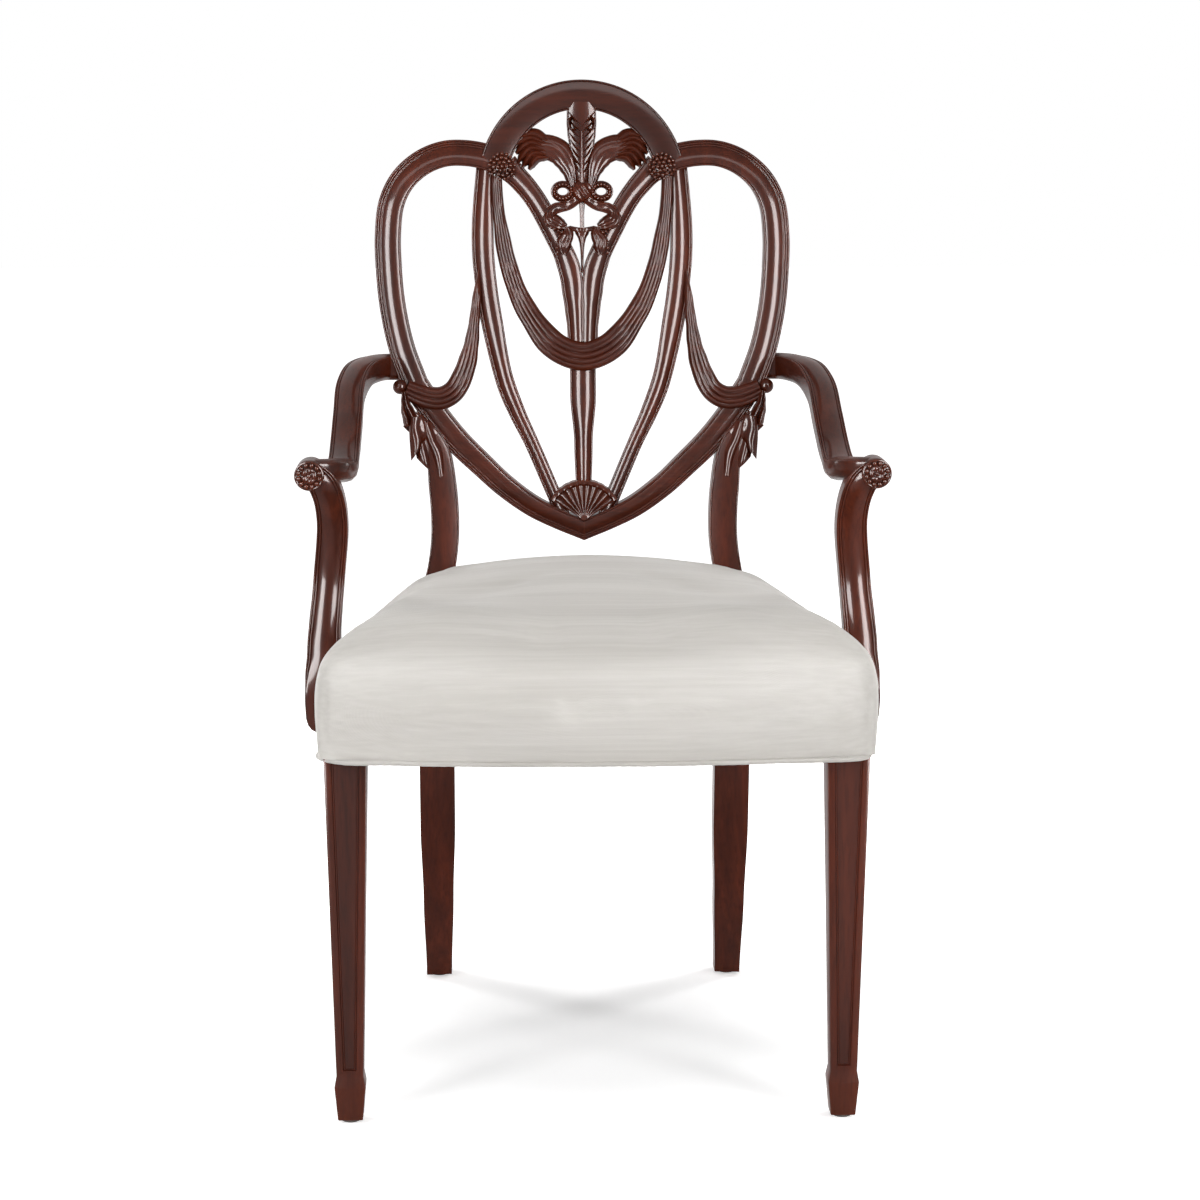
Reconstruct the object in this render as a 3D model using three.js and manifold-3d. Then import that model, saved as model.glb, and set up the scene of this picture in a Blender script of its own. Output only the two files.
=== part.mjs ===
// A carved shield-back armchair with an upholstered seat, in millimetres, +Z up.
// It faces -Y and stands on the floor, with its origin under the middle of its bounding box.
// Left and right are those of someone who looks at its front, so left is -X.
import * as THREE from "three";
import { mergeVertices } from "three/addons/utils/BufferGeometryUtils.js";
import Module from "manifold-3d";

const wasm = await Module();
wasm.setup();

// Driving dimensions

const CLEARANCE = 0.35;
const OVERRUN = 60;
const STEP_LENGTH = 16;

const seat = {
  underside: 365,
  railHeight: 64,
  railThickness: 24,
  edgeHeight: 80,
  crown: 62,
  frontHalfWidth: 267,
  backHalfWidth: 176,
  front: -28,
  back: 432,
  frontBow: 25,
  outlineSteps: 5,
  cornerRadius: 17,
  coverThickness: 3,
  coverMargin: 6,
};

const rake = {
  angle: THREE.MathUtils.degToRad(12),
  pivotHeight: 440,
  softening: 40,
  pivotY: 416,
  footSplay: 72,
  planBow: 15,
};

const shield = {
  halfWidth: 226,
  aboveSeat: 5,
  height: 488,
  thickness: 24,
  bandWidth: 28,
  tipWidth: 21,
};

const shieldBase = seat.underside + seat.edgeHeight + seat.crown + shield.aboveSeat;

const arch = { radius: 98, bandWidth: 32, endAngle: THREE.MathUtils.degToRad(14) };

const splat = {
  thickness: 18,
  innerTop: 28,
  innerWaist: 23,
  innerFoot: 15.2,
  outerTop: 20,
  outerBelly: 24,
  outerFoot: 15.5,
  trunkTop: 28,
  trunkFoot: 17,
};

const swag = {
  front: -15,
  back: -1,
  rosetteEnd: 12,
  belly: 31,
  sideStart: 6,
  sideBelly: 24,
  sideEnd: 11,
};

const ornament = {
  berryRadius: 14.5,
  berryHeight: 7,
  buttonRadius: 8,
  fanRadius: 43,
  fanOpening: THREE.MathUtils.degToRad(33),
  fanFront: -14,
  fanBack: 2,
  featherFront: -13,
  featherBack: 0,
  featherTop: 34,
  featherFoot: 17,
  plumeRoot: 12,
  plumeBelly: 24,
  plumeTip: 16,
  knotRadius: 11.5,
  loopOffset: 21,
  loopRadius: 12.5,
  loopHole: 5.5,
  ribbonWidth: 9,
  ribbonTip: 6,
  ribbonFront: -13,
  ribbonBack: -1,
  dropStem: 4.4,
  dropHead: 18,
  dropTip: 2.4,
  dropFront: -8,
  dropBack: 3,
  barThickness: 4.5,
  tailFront: -18,
  tailBack: -4,
};

const backPost = {
  footWidth: 28,
  footDepth: 30,
  railWidth: 38,
  railDepth: 36,
  waistWidth: 30,
  waistDepth: 28,
  tipWidth: 22,
  railX: 162,
  waistX: 151,
};

const frontLeg = {
  topWidth: 41,
  ankleWidth: 26,
  spadeTop: 30,
  spadeBottom: 24,
  spadeHeight: 34,
  ankleHeight: 48,
  panelMargin: 6,
  panelDepth: 1.2,
  sideInset: 28,
  frontInset: 27,
};

const frontLegX = seat.frontHalfWidth - frontLeg.sideInset;
const frontLegY = seat.front + frontLeg.frontInset;

const glide = { height: 3, radius: 10, padRadius: 7, pinRadius: 2, pinLength: 10 };

const armRest = {
  width: 30,
  thickness: 28,
  scrollOut: 13,
  scrollDrop: 10,
  scrollRadius: 14.6,
  scrollFront: 92,
  scrollDepth: 40,
  elbowDrop: 3,
  dipDrop: 77,
  runIn: 16,
  tenonWidth: 14,
  tenonLength: 12,
};

// The arm leaves the stile at a share of the shield's height, and the rest of it hangs from there.
const armRootShare = 0.3955;
const armRootZ = shieldBase + armRootShare * shield.height;
const armElbowZ = armRootZ - armRest.elbowDrop;
const armDipZ = armRootZ - armRest.dipDrop;
const armScrollZ = armDipZ - armRest.scrollDrop;
const armPostTop = armDipZ - armRest.thickness;

const armPost = {
  footRise: 1,
  depth: 30,
  topIn: 3,
  topWidth: 30,
  waistIn: 9,
  waistWidth: 29,
  bellyIn: 2,
  bellyWidth: 31,
  footOut: 21.7,
  footWidth: 40,
  footY: 122,
  waistY: 142,
  topY: 118,
};

const joint = {
  tenonThickness: 9,
  tenonLength: 14,
  rearTenonLength: 10,
  tenonShoulder: 9,
};

const block = { size: 58, height: 38, drop: 12 };
const screw = { radius: 2, headRadius: 4, headHeight: 3, blockBite: 16, postLength: 40, headRecess: 1.5 };
const roundel = { radius: 13.4, thickness: 3.5 };
const lining = { webbing: 2.2, dustCover: 1.4, inset: 12 };
const welt = { radius: 2.6, inset: 0.4 };

// Solids from three.js geometry, and back

const byAmount = (from, to, amount) => from + (to - from) * amount;

function flipped(indices) {
  const turned = indices.slice();
  for (let i = 0; i < turned.length; i += 3) {
    [turned[i + 1], turned[i + 2]] = [turned[i + 2], turned[i + 1]];
  }
  return turned;
}

function solidOf(geometry) {
  const bare = geometry.clone();
  bare.deleteAttribute("normal");
  bare.deleteAttribute("uv");
  const merged = mergeVertices(bare, CLEARANCE / 100);
  const vertProperties = merged.attributes.position.array;
  const triVerts = new Uint32Array(merged.index.array);
  const made = new wasm.Manifold(new wasm.Mesh({ numProp: 3, vertProperties, triVerts }));
  if (made.volume() > 0) return made;
  const turned = flipped(triVerts);
  return new wasm.Manifold(new wasm.Mesh({ numProp: 3, vertProperties, triVerts: turned }));
}

function geometryOf(solid) {
  const mesh = solid.getMesh();
  const positions = new Float32Array(mesh.numVert * 3);
  for (let i = 0; i < mesh.numVert; i++) {
    const start = i * mesh.numProp;
    positions.set(mesh.vertProperties.subarray(start, start + 3), i * 3);
  }
  const geometry = new THREE.BufferGeometry();
  geometry.setAttribute("position", new THREE.BufferAttribute(positions, 3));
  geometry.setIndex(new THREE.BufferAttribute(mesh.triVerts, 1));
  return geometry;
}

// Moves every vertex of a geometry to place(vertex, index).
function mapped(geometry, place) {
  const position = geometry.attributes.position;
  const vertex = new THREE.Vector3();
  for (let i = 0; i < position.count; i++) {
    const moved = place(vertex.fromBufferAttribute(position, i), i);
    position.setXYZ(i, moved.x, moved.y, moved.z);
  }
  return geometry;
}

function largestBody(solid) {
  const bodies = solid.decompose();
  return bodies.reduce((best, body) => (body.volume() > best.volume() ? body : best));
}

function joined(solids) {
  return solids.reduce((all, next) => all.add(next));
}

function cutBy(solid, cutters) {
  return largestBody(cutters.reduce((left, cutter) => left.subtract(cutter), solid));
}

function box(xRange, yRange, zRange) {
  const spans = [xRange, yRange, zRange].map(([low, high]) => high - low);
  const middles = [xRange, yRange, zRange].map(([low, high]) => (low + high) / 2);
  return solidOf(new THREE.BoxGeometry(...spans).translate(...middles));
}

// Cross-sections, as shares of a width (first) and a depth (second, front negative)

const mouldedShares = [
  [-0.5, 0.4], [-0.5, -0.24], [-0.36, -0.4], [-0.15, -0.5], [0.15, -0.5],
  [0.36, -0.4], [0.5, -0.24], [0.5, 0.4], [0.4, 0.5], [-0.4, 0.5],
];
const squareShares = [[-0.5, 0.5], [-0.5, -0.5], [0.5, -0.5], [0.5, 0.5]];
const foldedShares = [
  [-0.5, 0.5], [-0.5, -0.1], [-0.34, -0.42], [0, -0.5], [0.34, -0.42], [0.5, -0.1], [0.5, 0.5],
];

function shapeOf(points) {
  return new THREE.Shape(points.map(([a, b]) => new THREE.Vector2(a, b)));
}

// A value that runs through evenly spaced stops, at a share of the way.
function through(stops, share) {
  const place = THREE.MathUtils.clamp(share, 0, 1) * (stops.length - 1);
  const first = Math.min(Math.floor(place), stops.length - 2);
  return byAmount(stops[first], stops[first + 1], place - first);
}

// A bar along a curve. Its section turns with the curve about the Y axis only, so width lies in the X-Z
// plane and depth lies along Y. grow makes it that much larger all round, which is how mortises are cut.
function bar(curve, { widths, fronts, backs, section = mouldedShares, grow = 0, from = 0, to = 1 }) {
  const length = curve.getLength() * (to - from);
  const steps = Math.max(2, Math.round(length / STEP_LENGTH));
  const straight = new THREE.ExtrudeGeometry(shapeOf(section), { depth: 1, steps, bevelEnabled: false });
  return solidOf(mapped(straight, ({ x: across, y: deep, z: share }) => {
    const place = byAmount(from, to, share);
    const point = curve.getPointAt(place);
    const tangent = curve.getTangentAt(place);
    const flat = new THREE.Vector3(tangent.x, 0, tangent.z).normalize();
    const side = new THREE.Vector3(-flat.z, 0, flat.x);
    const width = through(widths, share) + 2 * grow;
    const front = through(fronts, share) - grow;
    const back = through(backs, share) + grow;
    const end = share === 0 ? -grow : share === 1 ? grow : 0;
    point.addScaledVector(side, across * width).addScaledVector(flat, end);
    point.y += byAmount(front, back, deep + 0.5);
    return point;
  }));
}

function plate(shape, front, back, curveSegments = 6) {
  const depth = back - front;
  const flat = new THREE.ExtrudeGeometry(shape, { depth, bevelEnabled: false, curveSegments });
  return solidOf(mapped(flat, ({ x, y, z }) => new THREE.Vector3(x, front + z, y)));
}

// The back: drawn flat in X and Z with Y as depth, then leaned into place

const shieldX = (share) => share * shield.halfWidth;
const shieldZ = (share) => shieldBase + share * shield.height;
const shieldPoint = ([u, v]) => new THREE.Vector3(shieldX(u), 0, shieldZ(v));

function shieldCurve(shares, side) {
  const points = shares.map(([u, v]) => shieldPoint([side * u, v]));
  return new THREE.CatmullRomCurve3(points, false, "centripetal");
}

// How far back the middle of the frame lies at a place in the flat drawing.
function lean(x, z) {
  const above = Math.max(z - rake.pivotHeight, 0);
  const below = Math.max(rake.pivotHeight - z, 0) / rake.pivotHeight;
  const reach = Math.hypot(above, rake.softening) - rake.softening;
  const bowShare = 1 - (x / shield.halfWidth) ** 2;
  return rake.pivotY + Math.tan(rake.angle) * reach + rake.footSplay * below ** 2 + rake.planBow * bowShare;
}

function leaned(solid) {
  return solidOf(mapped(geometryOf(solid), ({ x, y, z }) => new THREE.Vector3(x, y + lean(x, z), z)));
}

const stileShares = [
  [0.369, 0.811], [0.456, 0.828], [0.562, 0.837], [0.668, 0.835], [0.775, 0.815], [0.866, 0.777],
  [0.919, 0.727], [0.937, 0.657], [0.934, 0.591], [0.916, 0.503], [0.873, 0.41], [0.807, 0.327],
];
const baseShares = [
  [0.807, 0.327], [0.716, 0.265], [0.606, 0.203], [0.486, 0.149], [0.385, 0.106], [0.251, 0.061],
  [0.126, 0.032], [0, 0.008], [-0.04, 0],
];
const innerRibShares = [
  [0.369, 0.811], [0.265, 0.759], [0.214, 0.726], [0.15, 0.67], [0.088, 0.606], [0.055, 0.555],
  [0.036, 0.48], [0.0345, 0.412],
];
const outerRibShares = [
  [0.466, 0.81], [0.477, 0.733], [0.48, 0.622], [0.463, 0.535], [0.442, 0.473], [0.38, 0.338],
  [0.32, 0.266], [0.25, 0.198], [0.145, 0.086],
];
const trunkShares = [[0, 0.409], [0, 0.25], [0, 0.09]];
const centreSwagShares = [
  [0.413, 0.787], [0.408, 0.733], [0.394, 0.677], [0.366, 0.605], [0.309, 0.525], [0.244, 0.471],
  [0.157, 0.42], [0.083, 0.398], [0, 0.389],
];
const sideSwagShares = [
  [0.507, 0.596], [0.514, 0.535], [0.522, 0.473], [0.542, 0.407], [0.576, 0.353], [0.622, 0.315],
  [0.677, 0.3], [0.735, 0.3], [0.797, 0.309], [0.85, 0.32],
];
const plumeShares = [
  [0.044, 0.781], [0.068, 0.814], [0.116, 0.841], [0.174, 0.85], [0.233, 0.848], [0.281, 0.83],
  [0.292, 0.807],
];
const ribbonShares = [
  [0.012, 0.736], [0.098, 0.72], [0.132, 0.708], [0.118, 0.69], [0.078, 0.68], [0.072, 0.655], [0.095, 0.622],
];
const archCentreShare = 0.766;
const berryShare = [0.386, 0.808];
const buttonShare = [0.88, 0.325];
const fanShare = 0.03;
const knotShare = 0.754;
const dropShares = { stem: 0.73, bar: 0.664, tip: 0.572 };
const centreFeatherShares = [[0, 0.95], [0, 0.781]];
const tailShares = [
  [0.885, 0.305], [0.858, 0.255], [0.834, 0.168], [0.785, 0.144], [0.741, 0.122], [0.712, 0.116],
  [0.684, 0.126], [0.645, 0.179], [0.652, 0.21], [0.73, 0.25], [0.82, 0.3],
];

const evenDepth = (front, back) => ({ fronts: [front, front], backs: [back, back] });
const shieldFront = -shield.thickness / 2;
const shieldDepth = evenDepth(shieldFront, -shieldFront);
const splatDepth = evenDepth(-splat.thickness / 2, splat.thickness / 2);
const swagDepth = evenDepth(swag.front, swag.back);
const featherDepth = evenDepth(ornament.featherFront, ornament.featherBack);
const ribbonDepth = evenDepth(ornament.ribbonFront, ornament.ribbonBack);

const stileCurve = (side) => shieldCurve(stileShares, side);
const baseCurve = (side) => shieldCurve(baseShares, side);

const bandWidths = [shield.bandWidth, shield.bandWidth];

function tenonOnBase(side, grow) {
  const curve = stileCurve(side);
  const length = curve.getLength();
  const widths = [joint.tenonThickness, joint.tenonThickness];
  const half = joint.tenonThickness / 2;
  return bar(curve, {
    widths, fronts: [-half, -half], backs: [half, half], section: squareShares, grow,
    from: 1 - joint.tenonLength / length, to: 1,
  });
}

const flat = {
  stile: (side, grow = 0) => bar(stileCurve(side), { widths: bandWidths, ...shieldDepth, grow }),
  base: (side, grow = 0) => {
    const widths = [shield.bandWidth, shield.tipWidth];
    const rail = bar(baseCurve(side), { widths, ...shieldDepth, grow });
    const past = side * (CLEARANCE / 2 - grow);
    const otherSide = [past, past - side * OVERRUN].sort((a, b) => a - b);
    const tall = [shieldBase - OVERRUN, shieldBase + OVERRUN];
    return rail.subtract(box(otherSide, [-OVERRUN, OVERRUN], tall));
  },
  arch: (grow = 0) => {
    const centre = shieldZ(archCentreShare);
    const points = [];
    const arcSteps = 12;
    for (let i = 0; i <= arcSteps; i++) {
      const angle = byAmount(arch.endAngle, Math.PI - arch.endAngle, i / arcSteps);
      const [x, z] = [arch.radius * Math.cos(angle), arch.radius * Math.sin(angle)];
      points.push(new THREE.Vector3(x, 0, centre + z));
    }
    const widths = [arch.bandWidth, arch.bandWidth];
    return bar(new THREE.CatmullRomCurve3(points, false, "centripetal"), { widths, ...shieldDepth, grow });
  },
  innerRib: (side, grow = 0) => bar(shieldCurve(innerRibShares, side), {
    widths: [
      splat.innerTop, splat.innerWaist, splat.innerWaist, splat.innerWaist, splat.innerFoot, splat.innerFoot,
    ],
    ...splatDepth, grow,
  }),
  outerRib: (side, grow = 0) => bar(shieldCurve(outerRibShares, side), {
    widths: [
      splat.outerTop, splat.outerBelly, splat.outerBelly, splat.outerTop, splat.outerFoot, splat.outerFoot,
    ],
    ...splatDepth, grow,
  }),
  trunk: (grow = 0) => bar(shieldCurve(trunkShares, 1), {
    widths: [splat.trunkTop, splat.trunkTop, splat.outerTop, splat.trunkFoot], ...splatDepth, grow,
  }),
  centreSwag: (grow = 0) => {
    const mirrored = centreSwagShares.slice(0, -1).reverse().map(([u, v]) => [-u, v]);
    const curve = shieldCurve([...centreSwagShares, ...mirrored], 1);
    const end = swag.rosetteEnd;
    const waist = byAmount(end, swag.belly, 0.4);
    const widths = [end, end, waist, waist, swag.belly, waist, waist, end, end];
    return bar(curve, { widths, ...swagDepth, section: foldedShares, grow });
  },
  sideSwag: (side, grow = 0) => bar(shieldCurve(sideSwagShares, side), {
    widths: [swag.sideStart, swag.sideEnd, swag.sideEnd, swag.sideBelly, swag.sideBelly, swag.sideEnd],
    ...swagDepth, section: foldedShares, grow,
  }),
  plume: (side, grow = 0) => {
    const { plumeRoot, plumeBelly, plumeTip } = ornament;
    return bar(shieldCurve(plumeShares, side), {
      widths: [plumeRoot, byAmount(plumeRoot, plumeBelly, 0.6), plumeBelly, plumeBelly, plumeTip],
      ...featherDepth, section: foldedShares, grow,
    });
  },
  centreFeather: (grow = 0) => {
    const { featherTop, featherFoot } = ornament;
    return bar(shieldCurve(centreFeatherShares, 1), {
      widths: [featherTop, featherTop, featherFoot, featherFoot],
      ...featherDepth, section: foldedShares, grow,
    });
  },
  berries: (side, grow = 0) => {
    const radius = ornament.berryRadius + grow;
    const height = ornament.berryHeight + grow;
    const domeShares = [[0, 1], [0.5, 0.9], [0.85, 0.55], [1, 0]];
    const profile = domeShares.map(([r, h]) => new THREE.Vector2(r * radius, h * height));
    const dome = new THREE.LatheGeometry([new THREE.Vector2(0, -grow), ...profile.reverse()], 14);
    const centre = shieldPoint([side * berryShare[0], berryShare[1]]);
    const seatAt = shieldFront + ornament.berryHeight / 4;
    return solidOf(mapped(dome, ({ x, y, z }) => new THREE.Vector3(centre.x + x, seatAt - y, centre.z + z)));
  },
  button: (side, grow = 0) => {
    const centre = shieldPoint([side * buttonShare[0], buttonShare[1]]);
    const ball = new THREE.SphereGeometry(ornament.buttonRadius + grow, 12, 8);
    return solidOf(ball.translate(centre.x, shieldFront + ornament.buttonRadius / 2, centre.z));
  },
  fan: (grow = 0) => {
    const opening = ornament.fanOpening;
    const centre = shieldZ(fanShare);
    const shape = new THREE.Shape();
    const radius = ornament.fanRadius + grow;
    shape.moveTo(0, centre - grow);
    shape.lineTo(radius * Math.cos(opening), centre + radius * Math.sin(opening));
    shape.absarc(0, centre, radius, opening, Math.PI - opening, false);
    return plate(shape, ornament.fanFront - grow, ornament.fanBack + grow, 10);
  },
  bow: (grow = 0) => {
    const { knotRadius, loopOffset, loopRadius, loopHole, ribbonFront, ribbonBack } = ornament;
    const front = ribbonFront - grow;
    const back = ribbonBack + grow;
    const height = shieldZ(knotShare);
    const knot = new THREE.Shape().absarc(0, height, knotRadius + grow, 0, 2 * Math.PI);
    const parts = [plate(knot, front, back, 14)];
    for (const side of [-1, 1]) {
      const ring = new THREE.Shape().absarc(side * loopOffset, height, loopRadius + grow, 0, 2 * Math.PI);
      const hole = new THREE.Path().absarc(side * loopOffset, height, loopHole - grow, 0, 2 * Math.PI);
      ring.holes.push(hole);
      parts.push(plate(ring, front, back, 12));
      const { ribbonWidth, ribbonTip } = ornament;
      parts.push(bar(shieldCurve(ribbonShares, side), {
        widths: [ribbonTip, ribbonWidth, ribbonWidth, ribbonWidth, ribbonTip],
        ...ribbonDepth, section: foldedShares, grow,
      }));
    }
    return joined(parts);
  },
  drop: (grow = 0) => {
    const { dropStem, dropHead, dropTip, dropFront, dropBack, barThickness } = ornament;
    const front = dropFront - grow;
    const back = dropBack + grow;
    const [stemTop, barAt, tip] = [dropShares.stem, dropShares.bar, dropShares.tip].map(shieldZ);
    const stem = box([-dropStem / 2 - grow, dropStem / 2 + grow], [front, back], [barAt, stemTop + grow]);
    const reach = dropHead / 2 + barThickness;
    const barHeights = [barAt - grow, barAt + barThickness + grow];
    const crossBar = box([-reach - grow, reach + grow], [front, back], barHeights);
    const head = new THREE.Shape();
    head.moveTo(-dropHead / 2 - grow, barAt);
    head.quadraticCurveTo(-dropTip, barAt, -dropTip / 2 - grow, tip);
    head.lineTo(dropTip / 2 + grow, tip);
    head.quadraticCurveTo(dropTip, barAt, dropHead / 2 + grow, barAt);
    return joined([stem, crossBar, plate(head, front, back)]);
  },
  tail: (side, grow = 0) => {
    const outline = tailShares.map(([u, v]) => shieldPoint([side * u, v]));
    const centre = outline.reduce((sum, p) => sum.add(p), new THREE.Vector3()).divideScalar(outline.length);
    const pushed = outline.map((p) => {
      const outward = p.clone().sub(centre);
      return outward.setLength(outward.length() + grow).add(centre);
    });
    const shape = shapeOf(pushed.map((p) => [p.x, p.z]));
    return plate(shape, ornament.tailFront - grow, ornament.tailBack + grow);
  },
};

// The rear legs run from the floor, past the seat and up to the shield

function backPostCurve(side) {
  const { railX, waistX } = backPost;
  const rise = shieldBase - seat.underside;
  const shoulderZ = shieldZ(tailShares[4][1]);
  const points = [
    [railX + 2 * CLEARANCE, glide.height],
    [railX, seat.underside / 2],
    [railX, seat.underside],
    [railX, seat.underside + rise * 0.55],
    [byAmount(railX, waistX, 0.6), seat.underside + rise * 0.75],
    [waistX, byAmount(seat.underside, shieldBase, 1)],
    [byAmount(waistX, railX, 0.2), byAmount(shieldBase, shoulderZ, 0.7)],
    [railX, byAmount(shoulderZ, shieldZ(tailShares[1][1]), 0.5)],
    [shieldX(buttonShare[0]) - backPost.tipWidth / 2, shieldZ(tailShares[1][1])],
  ];
  const middles = points.map(([x, z]) => new THREE.Vector3(side * x, 0, z));
  return new THREE.CatmullRomCurve3(middles, false, "centripetal");
}

function rearLeg(side, grow = 0) {
  const { footWidth, railWidth, waistWidth, tipWidth, footDepth, railDepth, waistDepth } = backPost;
  const depths = [footDepth, railDepth, railDepth, railDepth, waistDepth, waistDepth, waistDepth];
  const halves = depths.map((depth) => depth / 2);
  return bar(backPostCurve(side), {
    widths: [footWidth, byAmount(footWidth, railWidth, 0.5), railWidth, railWidth, railWidth,
      waistWidth, waistWidth, tipWidth],
    fronts: halves.map((half) => -half),
    backs: halves,
    grow,
  });
}

// Fasteners

function roundPin(profile, start, direction, segments = 10) {
  const points = profile.map(([r, along]) => new THREE.Vector2(r, along));
  const lathe = new THREE.LatheGeometry(points, segments);
  const turn = new THREE.Quaternion();
  turn.setFromUnitVectors(new THREE.Vector3(0, 1, 0), direction.clone().normalize());
  return solidOf(mapped(lathe, (v) => v.clone().applyQuaternion(turn).add(start)));
}

// A screw, or with grow its bore, which is open beyond the head.
function woodScrew(start, direction, length, grow = 0) {
  const head = screw.headRadius + grow;
  const shank = screw.radius + grow;
  const mouth = grow > 0 ? screw.headRecess + screw.headRadius + grow : 0;
  return roundPin([
    [0, -mouth], [head, -mouth], [head, screw.headHeight / 3], [shank, screw.headHeight + grow],
    [shank, length - screw.headHeight], [0, length + grow],
  ], start, direction);
}

// Where the seat's upholstered outline lies, seen from above

function outlineHalfWidth(y) {
  const share = y / seat.back;
  return byAmount(seat.frontHalfWidth, seat.backHalfWidth, share);
}

// The arm posts stand outside the seat's edge, and the arms follow them.
const armPostFootX = outlineHalfWidth(armPost.footY) + armPost.footOut;
const armPostTopX = armPostFootX - armPost.topIn;
const armPostBottom = seat.underside + armPost.footRise;
const armScrollX = armPostFootX + armRest.scrollOut;
const armRunX = armPostFootX - armRest.runIn;
const armRootX = shieldX(stileShares[10][0]);
const elbowShare = 0.698;
const armElbowX = byAmount(armRootX, armRunX, elbowShare);

function seatOutline(inset = 0) {
  const halfBack = outlineHalfWidth(seat.back) - inset;
  const halfFront = outlineHalfWidth(seat.front) - inset;
  const back = seat.back - inset;
  const front = seat.front + inset;
  const corner = Math.max(seat.cornerRadius - inset, seat.coverMargin);
  const shape = new THREE.Shape();
  const sideY = front + corner;
  shape.moveTo(halfBack, back);
  shape.lineTo(-halfBack, back);
  shape.lineTo(-outlineHalfWidth(sideY) + inset, sideY);
  const cornerFront = front - seat.frontBow * 0.08;
  shape.quadraticCurveTo(-halfFront, front, -halfFront + corner, cornerFront);
  shape.quadraticCurveTo(-halfFront / 2, front - seat.frontBow, 0, front - seat.frontBow);
  shape.quadraticCurveTo(halfFront / 2, front - seat.frontBow, halfFront - corner, cornerFront);
  shape.quadraticCurveTo(halfFront, front, outlineHalfWidth(sideY) - inset, sideY);
  shape.closePath();
  return shape;
}

// A pad that is star-shaped about the seat's middle: rings of the outline, each at a share and a height.
function pad(rings, inset) {
  const edge = seatOutline(inset).getPoints(seat.outlineSteps).slice(0, -1);
  const spokes = edge.length;
  const middle = new THREE.Vector2(0, seat.back / 2);
  const lathe = new THREE.LatheGeometry(rings.map(([share, z]) => new THREE.Vector2(share, z)), spokes);
  return solidOf(mapped(lathe, ({ y: height }, index) => {
    const spoke = Math.floor(index / rings.length) % spokes;
    const [share, z] = rings[index % rings.length];
    const place = middle.clone().lerp(edge[spoke], share);
    return new THREE.Vector3(place.x, place.y, share === 0 ? height : z);
  }));
}

// Rings of the seat's top, from its lower edge to its crown.
function domeRings(bottom, inset) {
  const edge = seat.underside + seat.edgeHeight - inset;
  const crown = edge + seat.crown;
  const bulgeShare = 1.008;
  const wall = edge - seat.underside;
  const curve = [[0.96, 0.24], [0.88, 0.46], [0.75, 0.68], [0.57, 0.86], [0.32, 0.96]];
  return [
    [0, bottom], [1, bottom],
    [bulgeShare, seat.underside + wall * 0.4], [bulgeShare, seat.underside + wall * 0.68],
    [1, seat.underside + wall * 0.92],
    ...curve.map(([share, rise]) => [share, edge + (crown - edge) * rise]),
    [0, crown],
  ];
}

const railTop = seat.underside + seat.railHeight;

function ringWithCavity(bottom) {
  const outer = pad(domeRings(bottom, 0), 0);
  const hollow = domeRings(bottom - seat.coverThickness, seat.coverThickness);
  return outer.subtract(pad(hollow, seat.coverThickness));
}

// Everything above the seat's lower edge that isn't under the cover.
function beyondCover() {
  const wide = [-OVERRUN * 6, OVERRUN * 6];
  const heights = [seat.underside - CLEARANCE, seat.underside + OVERRUN * 4];
  const above = box(wide, [-OVERRUN * 3, OVERRUN * 9], heights);
  const inset = seat.coverThickness + 3 * CLEARANCE;
  return above.subtract(pad(domeRings(seat.underside - OVERRUN, inset), inset));
}

function foamPad() {
  const bottom = railTop + lining.webbing + 2 * CLEARANCE;
  const inset = seat.coverThickness + CLEARANCE;
  const dome = pad(domeRings(bottom, inset), inset);
  const below = box([-OVERRUN * 6, OVERRUN * 6], [-OVERRUN * 4, OVERRUN * 10], [0, bottom]);
  return dome.subtract(below);
}

function outlinePlate(inset, bottom, thickness) {
  const geometry = new THREE.ExtrudeGeometry(seatOutline(inset), {
    depth: thickness, bevelEnabled: false, curveSegments: 8,
  });
  return solidOf(geometry.translate(0, 0, bottom));
}

// Front legs: a tapered square with a sunk panel on its front, and a spade foot

function frontLegSolid(side, grow = 0) {
  const { topWidth, ankleWidth, ankleHeight, panelMargin, panelDepth } = frontLeg;
  const { spadeTop, spadeBottom, spadeHeight } = frontLeg;
  const bottom = glide.height;
  const rings = [
    [spadeBottom, bottom - grow], [spadeTop, bottom + spadeHeight], [ankleWidth, ankleHeight],
    [topWidth, seat.underside], [topWidth, railTop + grow],
  ];
  const unit = new THREE.ExtrudeGeometry(shapeOf(squareShares), {
    depth: rings.length - 1, steps: rings.length - 1, bevelEnabled: false,
  });
  const taper = solidOf(mapped(unit, ({ x, y, z: step }) => {
    const [width, height] = rings[Math.round(step)];
    const full = width + 2 * grow;
    return new THREE.Vector3(side * frontLegX + x * full, frontLegY + y * full, height);
  }));
  if (grow > 0) return taper;
  const panelBottom = ankleHeight + panelMargin;
  const panelTop = seat.underside - panelMargin;
  const taperHeight = seat.underside - ankleHeight;
  const halfAt = (z) => byAmount(ankleWidth, topWidth, (z - ankleHeight) / taperHeight) / 2;
  const sunk = new THREE.BoxGeometry(1, 1, 1);
  const panel = solidOf(mapped(sunk, ({ x, y, z }) => {
    const height = z > 0 ? panelTop : panelBottom;
    const half = halfAt(height);
    const depthAt = y > 0 ? -half + panelDepth : -half - panelDepth;
    return new THREE.Vector3(side * frontLegX + 2 * x * (half - panelMargin), frontLegY + depthAt, height);
  }));
  return taper.subtract(panel);
}

// Rails: each is a bar between two plan points. Given a tenon's length, it is the tenons at both ends.

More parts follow.
